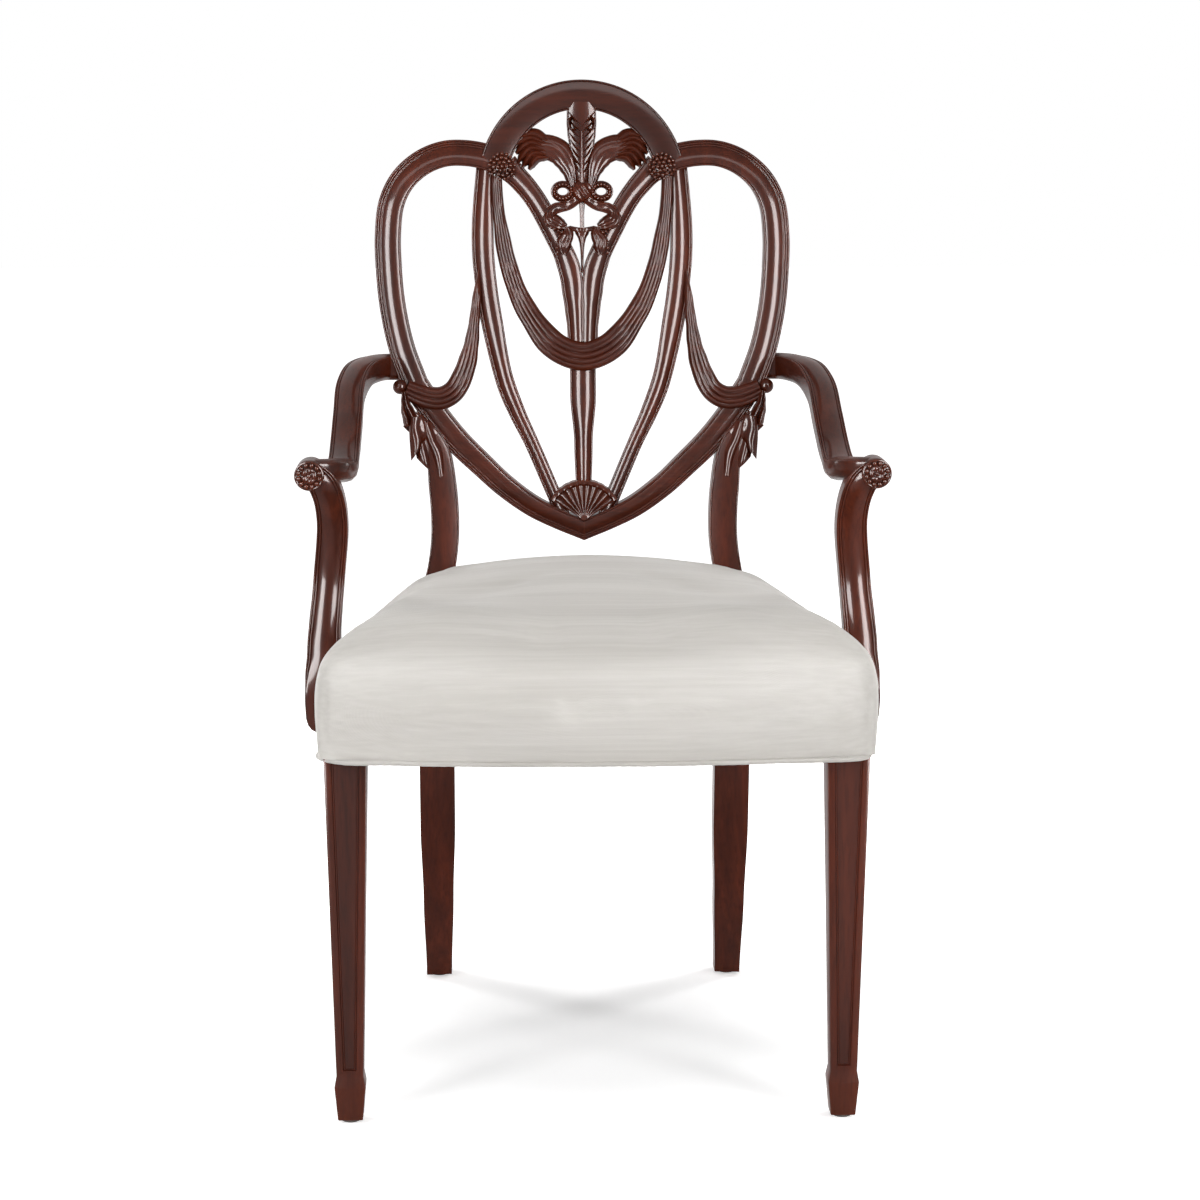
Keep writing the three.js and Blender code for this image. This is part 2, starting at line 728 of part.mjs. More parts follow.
function straightRail(start, end, grow, tenon) {
  const along = end.clone().sub(start).normalize();
  const side = new THREE.Vector2(-along.y, along.x);
  const half = (tenon > 0 ? joint.tenonThickness : seat.railThickness) / 2 + grow;
  const shoulder = tenon > 0 ? joint.tenonShoulder - grow : -grow;
  const low = seat.underside + shoulder;
  const high = railTop - shoulder;
  const reach = tenon + grow;
  const shape = shapeOf([[-1, -1], [1, -1], [1, 1], [-1, 1]].map(([a, b]) => {
    const corner = (a < 0 ? start : end).clone();
    corner.addScaledVector(along, a * reach).addScaledVector(side, b * half);
    return [corner.x, corner.y];
  }));
  const geometry = new THREE.ExtrudeGeometry(shape, { depth: high - low, bevelEnabled: false });
  return solidOf(geometry.translate(0, 0, low));
}

const frontLegHalf = frontLeg.topWidth / 2;
const rearLegFront = (x) => lean(x, seat.underside + seat.railHeight / 2) - backPost.railDepth / 2;
const outlineGap = seat.coverMargin + seat.railThickness / 2;

function sideRailEnds(side) {
  const frontY = frontLegY + frontLegHalf + CLEARANCE;
  const backY = rearLegFront(backPost.railX) - CLEARANCE;
  return [frontY, backY].map((y) => new THREE.Vector2(side * (outlineHalfWidth(y) - outlineGap), y));
}

function sideRail(side, grow = 0, tenon = 0) {
  const [start, end] = sideRailEnds(side);
  return straightRail(start, end, grow, tenon);
}

const rearRailY = seat.back - outlineGap;

function rearRail(grow = 0, tenon = 0) {
  const halfSpan = backPost.railX - backPost.railWidth / 2 - CLEARANCE;
  const ends = [-1, 1].map((side) => new THREE.Vector2(side * halfSpan, rearRailY));
  return straightRail(...ends, grow, tenon);
}

// The front rail follows the seat's bow.
function frontRailCurve() {
  const half = frontLegX - frontLegHalf - CLEARANCE;
  const endY = seat.front + seat.coverMargin + seat.railThickness / 2 + seat.frontBow * 0.06;
  const middleY = endY - seat.frontBow;
  const bowShares = [[-1, 0], [-0.62, 0.62], [0, 1], [0.62, 0.62], [1, 0]];
  const points = bowShares.map(([along, out]) => (
    new THREE.Vector3(along * half, byAmount(endY, middleY, out), 0)
  ));
  return new THREE.CatmullRomCurve3(points, false, "centripetal");
}

function frontRail(grow = 0) {
  const curve = frontRailCurve();
  const steps = 12;
  const unit = new THREE.ExtrudeGeometry(shapeOf(squareShares), { depth: 1, steps, bevelEnabled: false });
  return solidOf(mapped(unit, ({ x: across, y: up, z: share }) => {
    const point = curve.getPointAt(share);
    const end = share === 0 ? -grow : share === 1 ? grow : 0;
    point.x += end;
    point.y += across * (seat.railThickness + 2 * grow);
    point.z = byAmount(seat.underside - grow, railTop + grow, up + 0.5);
    return point;
  }));
}

function frontTenon(side, grow = 0) {
  const end = frontRailCurve().getPointAt(side < 0 ? 0 : 1);
  const half = joint.tenonThickness / 2 + grow;
  const inner = end.x - side * joint.tenonLength / 2;
  const outer = end.x + side * (joint.tenonLength + grow);
  return box([Math.min(inner, outer), Math.max(inner, outer)], [end.y - half, end.y + half],
    [seat.underside + joint.tenonShoulder - grow, railTop - joint.tenonShoulder + grow]);
}

// Corner blocks: a triangle in each corner of the seat frame

function cornerBlock(side, atFront) {
  const sideAt = (y) => side * (outlineHalfWidth(y) - outlineGap - seat.railThickness / 2 - CLEARANCE);
  const railY = atFront
    ? frontRailCurve().getPointAt(0).y + seat.railThickness / 2 + CLEARANCE
    : rearRailY - seat.railThickness / 2 - CLEARANCE;
  const inward = atFront ? 1 : -1;
  const farY = railY + inward * block.size;
  const shape = shapeOf([
    [sideAt(railY), railY], [sideAt(farY), farY], [sideAt(railY) - side * block.size, railY],
  ]);
  const geometry = new THREE.ExtrudeGeometry(shape, { depth: block.height, bevelEnabled: false });
  return solidOf(geometry.translate(0, 0, seat.underside + block.drop));
}

// Each block's screw starts in the middle of its slanted face and bites into the side rail.
function blockScrew(side, atFront, grow = 0) {
  const inward = atFront ? 1 : -1;
  const railY = atFront ? frontRailCurve().getPointAt(0).y : rearRailY;
  const y = railY + inward * (seat.railThickness / 2 + block.size / 2);
  const faceX = outlineHalfWidth(y) - outlineGap - seat.railThickness / 2 - block.size / 2;
  const z = seat.underside + block.drop + block.height / 2;
  const start = new THREE.Vector3(side * (faceX + screw.headRadius), y, z);
  const length = block.size / 2 - screw.headRadius + screw.blockBite;
  return woodScrew(start, new THREE.Vector3(side, 0, 0), length, grow);
}

// Arm posts: S-shaped supports that stand on the side rails

function armPostCurve(side) {
  const { footY, waistY, topY } = armPost;
  const rise = armPostTop - armPostBottom;
  const bellyX = armPostFootX - armPost.bellyIn;
  const waistX = armPostFootX - armPost.waistIn;
  const points = [
    [armPostFootX, footY, 0], [armPostFootX, footY, 0.16], [bellyX, byAmount(footY, waistY, 0.4), 0.36],
    [byAmount(waistX, bellyX, 0.2), waistY, 0.62], [waistX, byAmount(waistY, topY, 0.3), 0.86],
    [armPostTopX, topY, 1],
  ];
  return new THREE.CatmullRomCurve3(points.map(([x, y, share]) => (
    new THREE.Vector3(side * x, y, armPostBottom + rise * share)
  )), false, "centripetal");
}

function armPostSolid(side, grow = 0) {
  const { footWidth, bellyWidth, waistWidth, topWidth, depth } = armPost;
  const half = depth / 2;
  return bar(armPostCurve(side), {
    widths: [footWidth, footWidth, bellyWidth, waistWidth, waistWidth, topWidth],
    fronts: [-half, -half], backs: [half, half], grow,
  });
}

function armPostScrew(side, grow = 0) {
  const height = seat.underside + seat.railHeight / 2;
  const inner = outlineHalfWidth(armPost.footY) - outlineGap - seat.railThickness / 2;
  const start = new THREE.Vector3(side * (inner + screw.headRecess), armPost.footY, height);
  return woodScrew(start, new THREE.Vector3(side, 0, 0), screw.postLength, grow);
}

// Arms: out from the shield, forward, down and into a scroll over the post

function armCurve(side) {
  const { scrollFront, scrollDepth } = armRest;
  const rootY = lean(armRootX, armRootZ);
  const frontY = scrollFront + scrollDepth / 2;
  const forward = (share) => byAmount(rootY, frontY, share);
  const down = (share) => byAmount(armElbowZ, armDipZ, share);
  const outX = byAmount(armRunX, armScrollX, 0.25);
  const points = [
    [armRootX, rootY, armRootZ], [byAmount(armRootX, armElbowX, 0.55), rootY, armRootZ],
    [armElbowX, forward(0.085), armRootZ], [byAmount(armElbowX, armRunX, 0.6), forward(0.2), armElbowZ],
    [armRunX, forward(0.36), down(0.18)], [armRunX, forward(0.54), down(0.5)],
    [armRunX, forward(0.72), down(0.84)], [armRunX, forward(0.88), armDipZ], [outX, forward(1), armDipZ],
  ];
  const points3 = points.map(([x, y, z]) => new THREE.Vector3(side * x, y, z - armRest.thickness / 2));
  return new THREE.CatmullRomCurve3(points3, false, "centripetal");
}

const armShares = [
  [-0.5, -0.36], [-0.5, 0.3], [-0.38, 0.44], [-0.16, 0.5], [0.16, 0.5],
  [0.38, 0.44], [0.5, 0.3], [0.5, -0.36], [0.34, -0.5], [-0.34, -0.5],
];

// The arm's section stays upright: its width is level and square to its run.
function armRun(side, widthOf, heightOf, section, from, to, grow) {
  const curve = armCurve(side);
  const steps = Math.max(3, Math.round(curve.getLength() * (to - from) / STEP_LENGTH));
  const unit = new THREE.ExtrudeGeometry(shapeOf(section), { depth: 1, steps, bevelEnabled: false });
  return solidOf(mapped(unit, ({ x: across, y: up, z: share }) => {
    const place = byAmount(from, to, share);
    const point = curve.getPointAt(place);
    const tangent = curve.getTangentAt(place);
    const level = new THREE.Vector3(tangent.y, -tangent.x, 0).normalize();
    const upright = new THREE.Vector3().crossVectors(level, tangent).normalize();
    const end = share === 0 ? -grow : share === 1 ? grow : 0;
    return point.addScaledVector(level, across * (widthOf + 2 * grow))
      .addScaledVector(upright, up * (heightOf + 2 * grow)).addScaledVector(tangent, end);
  }));
}

// The scroll's outline seen from the front: a disc that runs down into the post's width.
function scrollShape(side) {
  const { scrollRadius } = armRest;
  const halfPost = armPost.topWidth / 2;
  const shape = new THREE.Shape();
  const bottom = armPostTop + CLEARANCE;
  const at = (x, z) => [side * x, z];
  shape.moveTo(...at(armPostTopX + halfPost, bottom));
  shape.lineTo(...at(armScrollX, armScrollZ - scrollRadius));
  const reach = armScrollX + scrollRadius;
  const scrollTop = armScrollZ + scrollRadius;
  shape.quadraticCurveTo(...at(reach, armScrollZ - scrollRadius), ...at(reach, armScrollZ));
  shape.quadraticCurveTo(...at(reach, scrollTop), ...at(armScrollX, scrollTop));
  shape.quadraticCurveTo(...at(armPostTopX - halfPost / 2, scrollTop), ...at(armPostTopX - halfPost, bottom));
  return shape;
}

function armSolid(side, grow = 0) {
  const { width, thickness, scrollFront, scrollDepth } = armRest;
  const run = armRun(side, width, thickness, armShares, 0, 1, grow);
  const scroll = plate(scrollShape(side), scrollFront, scrollFront + scrollDepth, 8);
  return run.add(scroll);
}

function armTenon(side, grow = 0) {
  const { tenonWidth, tenonLength } = armRest;
  const share = 2 * tenonLength / armCurve(side).getLength();
  return armRun(side, tenonWidth, tenonWidth, squareShares, 0, share, grow);
}

function roundelSolid(side) {
  const profileShares = [[0, 1], [0.35, 0.9], [0.75, 1.4], [1, 0.7], [1, 0]];
  const profile = profileShares.map(([r, t]) => [r * roundel.radius, t * roundel.thickness]);
  const start = new THREE.Vector3(side * armScrollX, armRest.scrollFront - CLEARANCE, armScrollZ);
  return roundPin([[0, 0], ...profile.reverse()], start, new THREE.Vector3(0, -1, 0), 16);
}

// Glides under the four legs

function glideSolid(x, y) {
  const { height, radius, padRadius, pinRadius, pinLength } = glide;
  const top = height - CLEARANCE;
  const profile = [[0, 0], [padRadius, 0], [radius, top / 2], [radius, top], [pinRadius, top],
    [pinRadius, top + pinLength], [0, top + pinLength]];
  return roundPin(profile, new THREE.Vector3(x, y, 0), new THREE.Vector3(0, 0, 1), 14);
}

function glideBore(x, y) {
  const radius = glide.pinRadius + CLEARANCE;
  const top = glide.height + glide.pinLength + CLEARANCE;
  const profile = [[0, 0], [radius, 0], [radius, top], [0, top]];
  return roundPin(profile, new THREE.Vector3(x, y, 0), new THREE.Vector3(0, 0, 1));
}

const frontGlideAt = (side) => [side * frontLegX, frontLegY];
const rearGlideAt = (side) => {
  const x = side * (backPost.railX + 2 * CLEARANCE);
  return [x, lean(x, glide.height)];
};

// The welt: a piped cord sewn along the cover's lower edge

function weltTube(points, grow = 0) {
  const curve = new THREE.CatmullRomCurve3(points, false, "centripetal");
  const section = new THREE.Shape().absarc(0, 0, welt.radius + grow, 0, 2 * Math.PI);
  const steps = Math.max(4, Math.round(curve.getLength() / (1.6 * STEP_LENGTH)));
  const geometry = new THREE.ExtrudeGeometry(section, {
    steps, bevelEnabled: false, extrudePath: curve, curveSegments: 6,
  });
  return solidOf(geometry);
}

const weltZ = seat.underside - welt.radius - CLEARANCE - seat.coverMargin / 6;

function weltSolid() {
  const outline = seatOutline(welt.inset).getSpacedPoints(70);
  const limitY = rearLegFront(backPost.railX) - CLEARANCE;
  const kept = outline.filter((p) => p.y < limitY - welt.radius);
  const points = kept.map((p) => new THREE.Vector3(p.x, p.y, weltZ));
  return weltTube(points);
}

// Assembly

const wood = new THREE.MeshStandardMaterial({ color: 0x4a1f16, roughness: 0.28, metalness: 0 });
const plainWood = new THREE.MeshStandardMaterial({ color: 0xb08a5c, roughness: 0.8, metalness: 0 });
const fabric = new THREE.MeshStandardMaterial({ color: 0xd8d5cf, roughness: 0.7, metalness: 0 });
const foam = new THREE.MeshStandardMaterial({ color: 0xe9dfb9, roughness: 0.95, metalness: 0 });
const cambric = new THREE.MeshStandardMaterial({ color: 0x1b1b1d, roughness: 0.95, metalness: 0 });
const steel = new THREE.MeshStandardMaterial({ color: 0xb9b6ac, roughness: 0.35, metalness: 1 });
const nylon = new THREE.MeshStandardMaterial({ color: 0x3a2a20, roughness: 0.5, metalness: 0 });

const chair = new THREE.Group();

function place(name, solid, material) {
  const mesh = new THREE.Mesh(geometryOf(solid), material);
  mesh.name = name;
  chair.add(mesh);
  return solid;
}

const sides = [["left", -1], ["right", 1]];
const both = (maker, ...rest) => sides.map(([, side]) => maker(side, ...rest));

// Carved back. Each piece is cut by the ones that lie over it or are housed in it.

for (const [word, side] of sides) {
  const stile = cutBy(flat.stile(side), [
    flat.base(side, CLEARANCE), tenonOnBase(side, CLEARANCE), flat.innerRib(side, CLEARANCE),
    flat.outerRib(side, CLEARANCE), flat.centreSwag(CLEARANCE), flat.sideSwag(side, CLEARANCE),
    flat.button(side, CLEARANCE), flat.berries(side, CLEARANCE), flat.tail(side, CLEARANCE),
  ]);
  place(`shield_stile_${word}`, cutBy(leaned(stile), [armTenon(side, CLEARANCE)]), wood);
  const base = cutBy(flat.base(side).add(tenonOnBase(side, 0)), [
    flat.fan(CLEARANCE), flat.sideSwag(side, CLEARANCE), flat.tail(side, CLEARANCE),
    flat.button(side, CLEARANCE), flat.outerRib(side, CLEARANCE),
  ]);
  place(`shield_base_${word}`, leaned(base), wood);
  const inner = cutBy(flat.innerRib(side), [
    flat.berries(side, CLEARANCE), flat.plume(side, CLEARANCE), flat.bow(CLEARANCE),
    flat.centreSwag(CLEARANCE), flat.trunk(CLEARANCE), flat.drop(CLEARANCE),
    box([Math.min(0, -side * OVERRUN), Math.max(0, -side * OVERRUN)].map((x) => x + side * CLEARANCE / 2),
      [-OVERRUN, OVERRUN], [0, shieldZ(1)]),
  ]);
  place(`inner_rib_${word}`, leaned(inner), wood);
  const outer = cutBy(flat.outerRib(side), [
    flat.berries(side, CLEARANCE), flat.centreSwag(CLEARANCE), flat.sideSwag(side, CLEARANCE),
    flat.fan(CLEARANCE), flat.innerRib(side, CLEARANCE),
  ]);
  place(`outer_rib_${word}`, leaned(outer), wood);
  const sideSwag = cutBy(flat.sideSwag(side), [flat.button(side, CLEARANCE), flat.tail(side, CLEARANCE)]);
  place(`side_swag_${word}`, leaned(sideSwag), wood);
  place(`swag_button_${word}`, leaned(flat.button(side)), wood);
  place(`berry_cluster_${word}`, leaned(flat.berries(side)), wood);
  const tail = cutBy(flat.tail(side), [flat.button(side, CLEARANCE)]);
  place(`drapery_tail_${word}`, leaned(tail), wood);
  const plume = cutBy(flat.plume(side), [
    flat.arch(CLEARANCE), flat.centreFeather(CLEARANCE), flat.bow(CLEARANCE), flat.stile(side, CLEARANCE),
    flat.berries(side, CLEARANCE),
  ]);
  place(`plume_${word}`, leaned(plume), wood);
}

const archSolid = cutBy(flat.arch(), [
  ...both(flat.stile, CLEARANCE), ...both(flat.innerRib, CLEARANCE), ...both(flat.berries, CLEARANCE),
  flat.centreFeather(CLEARANCE),
]);
place("crest_arch", leaned(archSolid), wood);
place("splat_trunk", leaned(cutBy(flat.trunk(), [flat.centreSwag(CLEARANCE), flat.fan(CLEARANCE)])), wood);
const swagSolid = cutBy(flat.centreSwag(), both(flat.berries, CLEARANCE));
place("centre_swag", leaned(swagSolid), wood);
place("fan_carving", leaned(flat.fan()), wood);
place("centre_feather", leaned(cutBy(flat.centreFeather(), [flat.bow(CLEARANCE)])), wood);
place("ribbon_bow", leaned(flat.bow()), wood);
place("husk_drop", leaned(cutBy(flat.drop(), [flat.bow(CLEARANCE)])), wood);

// Legs, rails and the pieces that hold them together

for (const [word, side] of sides) {
  const rear = cutBy(rearLeg(side), [
    flat.stile(side, CLEARANCE), flat.base(side, CLEARANCE), flat.button(side, CLEARANCE),
  ]);
  const rearPlaced = cutBy(leaned(rear), [
    sideRail(side, CLEARANCE, joint.tenonLength), rearRail(CLEARANCE, joint.rearTenonLength),
    glideBore(...rearGlideAt(side)), armSolid(side, CLEARANCE), leaned(flat.tail(side, CLEARANCE)),
  ]);
  place(`rear_leg_${word}`, rearPlaced, wood);
  const front = cutBy(frontLegSolid(side), [
    beyondCover(),
    sideRail(side, CLEARANCE, joint.tenonLength), frontTenon(side, CLEARANCE),
    glideBore(...frontGlideAt(side)),
  ]);
  place(`front_leg_${word}`, front, wood);
  const bothLegs = [frontLegSolid(side, CLEARANCE), leaned(rearLeg(side, CLEARANCE))];
  const shouldered = cutBy(sideRail(side), bothLegs);
  const rail = cutBy(shouldered.add(sideRail(side, 0, joint.tenonLength)), [
    armPostScrew(side, CLEARANCE), armPostSolid(side, CLEARANCE), frontTenon(side, CLEARANCE),
    rearRail(CLEARANCE, joint.rearTenonLength), blockScrew(side, true, CLEARANCE),
    blockScrew(side, false, CLEARANCE),
  ]);
  place(`side_rail_${word}`, rail, plainWood);
  for (const [end, atFront] of [["front", true], ["rear", false]]) {
    const neighbours = [
      blockScrew(side, atFront, CLEARANCE), frontLegSolid(side, CLEARANCE), leaned(rearLeg(side, CLEARANCE)),
      sideRail(side, CLEARANCE), frontRail(CLEARANCE), rearRail(CLEARANCE),
    ];
    place(`corner_block_${end}_${word}`, cutBy(cornerBlock(side, atFront), neighbours), plainWood);
    place(`corner_screw_${end}_${word}`, blockScrew(side, atFront), steel);
    const at = atFront ? frontGlideAt(side) : rearGlideAt(side);
    place(`glide_${end}_${word}`, glideSolid(...at), nylon);
  }
  const post = cutBy(armPostSolid(side), [armPostScrew(side, CLEARANCE)]);
  place(`arm_post_${word}`, post, wood);
  place(`arm_post_screw_${word}`, armPostScrew(side), steel);
  const shoulderedArm = cutBy(armSolid(side), [leaned(flat.stile(side, CLEARANCE))]);
  const arm = cutBy(shoulderedArm.add(armTenon(side)), [
    armPostSolid(side, CLEARANCE), leaned(flat.button(side, CLEARANCE)), leaned(flat.tail(side, CLEARANCE)),
  ]);
  place(`arm_${word}`, arm, wood);
  place(`arm_roundel_${word}`, roundelSolid(side), wood);
}

const frontRailSolid = joined([frontRail(), frontTenon(-1), frontTenon(1)]);
place("front_rail", frontRailSolid, plainWood);
place("rear_rail", rearRail().add(rearRail(0, joint.rearTenonLength)), plainWood);

// Upholstery

const legsAndPosts = [
  ...both((side) => leaned(rearLeg(side, CLEARANCE))), ...both(armPostSolid, CLEARANCE),
];
const coverCutters = [...legsAndPosts, ...both(armPostScrew, CLEARANCE)];
place("seat_cover", cutBy(ringWithCavity(seat.underside), coverCutters), fabric);
place("seat_foam", cutBy(foamPad(), legsAndPosts), foam);
const webbing = outlinePlate(lining.inset, railTop + CLEARANCE, lining.webbing);
place("seat_webbing", cutBy(webbing, legsAndPosts), plainWood);
const dustBottom = seat.underside - lining.dustCover - CLEARANCE;
const dustCutters = [...legsAndPosts, ...both(frontLegSolid, CLEARANCE)];
place("dust_cover", cutBy(outlinePlate(lining.inset, dustBottom, lining.dustCover), dustCutters), cambric);
const weltCutters = [...both(frontLegSolid, CLEARANCE), ...both(armPostSolid, CLEARANCE)];
place("seat_welt", cutBy(weltSolid(), weltCutters), fabric);

// The origin goes under the middle of the bounding box.
const bounds = new THREE.Box3().setFromObject(chair);
const centre = bounds.getCenter(new THREE.Vector3());
chair.position.set(-centre.x, -centre.y, -bounds.min.z);

export default chair;
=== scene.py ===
"""A carved shield-back armchair with a satin seat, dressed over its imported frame.

Lengths are in metres, +Z is up and the chair faces -Y. Left and right are those of someone who
looks at its front, so left is -X.
"""

import logging
import math
from collections.abc import Callable, Iterator, Sequence
from contextlib import contextmanager
from dataclasses import dataclass, field, replace
from enum import Enum

import bpy
import numpy as np
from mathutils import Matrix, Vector


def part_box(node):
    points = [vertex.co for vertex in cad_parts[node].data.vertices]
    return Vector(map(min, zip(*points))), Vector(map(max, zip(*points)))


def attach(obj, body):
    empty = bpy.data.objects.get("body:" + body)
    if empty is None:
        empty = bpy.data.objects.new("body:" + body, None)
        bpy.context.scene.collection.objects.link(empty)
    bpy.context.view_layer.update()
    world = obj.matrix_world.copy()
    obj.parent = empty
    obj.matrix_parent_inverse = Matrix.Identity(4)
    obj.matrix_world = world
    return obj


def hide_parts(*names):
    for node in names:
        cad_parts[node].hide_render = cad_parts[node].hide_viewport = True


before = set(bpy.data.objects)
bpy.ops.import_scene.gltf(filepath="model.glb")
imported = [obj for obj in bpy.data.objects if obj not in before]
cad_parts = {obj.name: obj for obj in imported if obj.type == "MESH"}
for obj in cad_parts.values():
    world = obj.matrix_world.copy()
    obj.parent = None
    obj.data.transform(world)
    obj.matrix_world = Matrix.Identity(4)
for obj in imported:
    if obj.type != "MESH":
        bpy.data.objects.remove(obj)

log = logging.getLogger("chair")
MM = 0.001
SIDES: tuple[tuple[str, int], ...] = (("left", -1), ("right", 1))
Array = np.ndarray
Piece = bpy.types.Object
Node = bpy.types.Node
Socket = bpy.types.NodeSocket
Pairs = list[tuple[Array, Array]]
Place = tuple[float, float, float]
Shares = Sequence[tuple[float, float]]


def mm(*values: float) -> tuple[float, ...]:
    """Lengths that are given in millimetres."""
    return tuple(value * MM for value in values)


# Lines and stops


def smoothed(stops: Sequence[float], share: Array) -> Array:
    """A value that eases from stop to stop.

    Args:
        stops: evenly spaced values.
        share: shares of the way from the first stop to the last.

    Returns:
        The values there.
    """
    place = np.clip(share, 0, 1) * (len(stops) - 1)
    first = np.minimum(place.astype(int), len(stops) - 2)
    part = place - first
    part = part * part * (3 - 2 * part)
    values = np.asarray(stops, float)
    return values[first] * (1 - part) + values[first + 1] * part


@dataclass(frozen=True)
class Line:
    """A smooth line through given points, spaced by its own length."""

    points: tuple[Place, ...]

    def dense(self) -> Array:
        """Closely spaced points on the line.

        Returns:
            Points, one per row.
        """
        p = np.asarray(self.points, float)
        p = np.vstack([2 * p[0] - p[1], p, 2 * p[-1] - p[-2]])
        pieces = []
        for a, b, c, d in zip(p[:-3], p[1:-2], p[2:-1], p[3:]):
            ab, bc, cd = (max(np.linalg.norm(v), 1e-9) ** 0.5 for v in (b - a, c - b, d - c))
            start = ((b - a) / ab - (c - a) / (ab + bc) + (c - b) / bc) * bc
            stop = ((c - b) / bc - (d - b) / (bc + cd) + (d - c) / cd) * bc
            t = np.linspace(0, 1, 32, endpoint=False)[:, None]
            cubic = 2 * (b - c) + start + stop
            square = 3 * (c - b) - 2 * start - stop
            pieces.append(b + start * t + square * t**2 + cubic * t**3)
        return np.vstack([*pieces, p[-2:-1]])

    def length(self) -> float:
        """The line's length."""
        return float(np.linalg.norm(np.diff(self.dense(), axis=0), axis=1).sum())

    def at(self, shares: Array) -> tuple[Array, Array]:
        """Places and directions on the line.

        Args:
            shares: shares of the line's length.

        Returns:
            Points and unit tangents, one per row.
        """
        dense = self.dense()
        steps = np.linalg.norm(np.diff(dense, axis=0), axis=1)
        run = np.concatenate([[0], np.cumsum(steps)]) / steps.sum()

        def place(s: Array) -> Array:
            """Points on the line, which goes straight on past its ends.

            Args:
                s: shares of the line's length.

            Returns:
                Points, one per row.
            """
            inside = np.clip(s, 0, 1)
            found = np.stack([np.interp(inside, run, dense[:, k]) for k in range(3)], axis=1)
            first = (dense[1] - dense[0]) / steps[0]
            last = (dense[-1] - dense[-2]) / steps[-1]
            under = np.minimum(s, 0)[:, None] * steps.sum()
            over = np.maximum(s - 1, 0)[:, None] * steps.sum()
            return found + under * first + over * last

        tangent = place(shares + 0.004) - place(shares - 0.004)
        return place(shares), tangent / np.linalg.norm(tangent, axis=1)[:, None]


# Cross-sections: points across a width and a depth, the front being the negative depth


class Section:
    """The outline that a carved piece has when it is sawn across."""

    def outline(self, share: Array, width: Array, front: Array, back: Array) -> Array:
        """Points round the piece, at shares of its length.

        Args:
            share: shares of the length, one per step.
            width: widths at those steps.
            front: depths of the front there.
            back: depths of the back there.

        Returns:
            An array of steps, points and (across, deep).
        """
        raise NotImplementedError

    @staticmethod
    def stacked(points: Pairs) -> Array:
        """Joins points that are each given as two arrays over the steps."""
        return np.stack([np.stack([a, d], axis=-1) for a, d in points], axis=1)

    @staticmethod
    def rear(half: Array, back: Array, ease: Array) -> Pairs:
        """The rounded back, from the right side to the left.

        Args:
            half: half the widths, one per step.
            back: depths of the back.
            ease: radii of the two rear edges.

        Returns:
            Points, each as two arrays over the steps.
        """
        turns = np.radians((0, 30, 60, 90))
        right = [(half - ease * (1 - math.cos(t)), back - ease * (1 - math.sin(t))) for t in turns]
        left = [(-a, d) for a, d in reversed(right)]
        return right + left


@dataclass(frozen=True)
class Moulding(Section):
    """A broad round between fine reeds, its crown nearer to one side."""

    bead: float = 1.3 * MM
    drop: float = 4.0 * MM
    peak: float = 0.0
    reeds: tuple[int, int] = (1, 1)
    ease: tuple[float, ...] = (2.0 * MM, 2.0 * MM)
    strength: tuple[float, ...] = (1.0, 1.0)

    def turned(self) -> "Moulding":
        """The same moulding with its sides exchanged."""
        return replace(self, peak=-self.peak, reeds=self.reeds[::-1])

    @staticmethod
    def reeding(count: int, half: Array, level: Array, bead: Array) -> Pairs:
        """Points over the fine reeds of the left side, from the outside inwards.

        Args:
            count: how many reeds there are.
            half: half the widths of the piece, one per step.
            level: depths of the outermost reed.
            bead: radii of the reeds.

        Returns:
            Points, each as two arrays over the steps.
        """
        points = [(-half, level + bead * 2.4)]
        for k in range(count):
            for turn in np.radians((165, 135, 105, 75, 45, 15)):
                across = -half + bead * (2 * k + 1 + math.cos(turn))
                points.append((across, level + bead * (1 - math.sin(turn) - 0.45 * k)))
        return points

    def fall(self, place: float) -> float:
        """The crown's share of the drop, at a place from -1 on the left to 1 on the right."""
        return ((place - self.peak) / (1 + abs(self.peak))) ** 2

    def outline(self, share: Array, width: Array, front: Array, back: Array) -> Array:
        """See Section.outline."""
        half = width / 2
        carved = smoothed(self.strength, share)
        bead = np.minimum(self.bead, width * 0.05) * (0.2 + 0.8 * carved)
        drop = np.minimum(self.drop, width * 0.22) * (0.3 + 0.7 * carved)
        left = self.reeding(self.reeds[0], half, front + drop * self.fall(-1), bead)
        right = self.reeding(self.reeds[1], half, front + drop * self.fall(1), bead)
        start = -half + 2 * bead * self.reeds[0]
        stop = half - 2 * bead * self.reeds[1]
        crown = []
        for place in np.sin(np.radians(np.arange(-78, 79, 12))):
            across = (start + stop) / 2 + place * (stop - start) / 2
            crown.append((across, front + drop * self.fall(place)))
        right = [(-a, d) for a, d in reversed(right)]
        return self.stacked(left + crown + right + self.rear(half, back, smoothed(self.ease, share)))


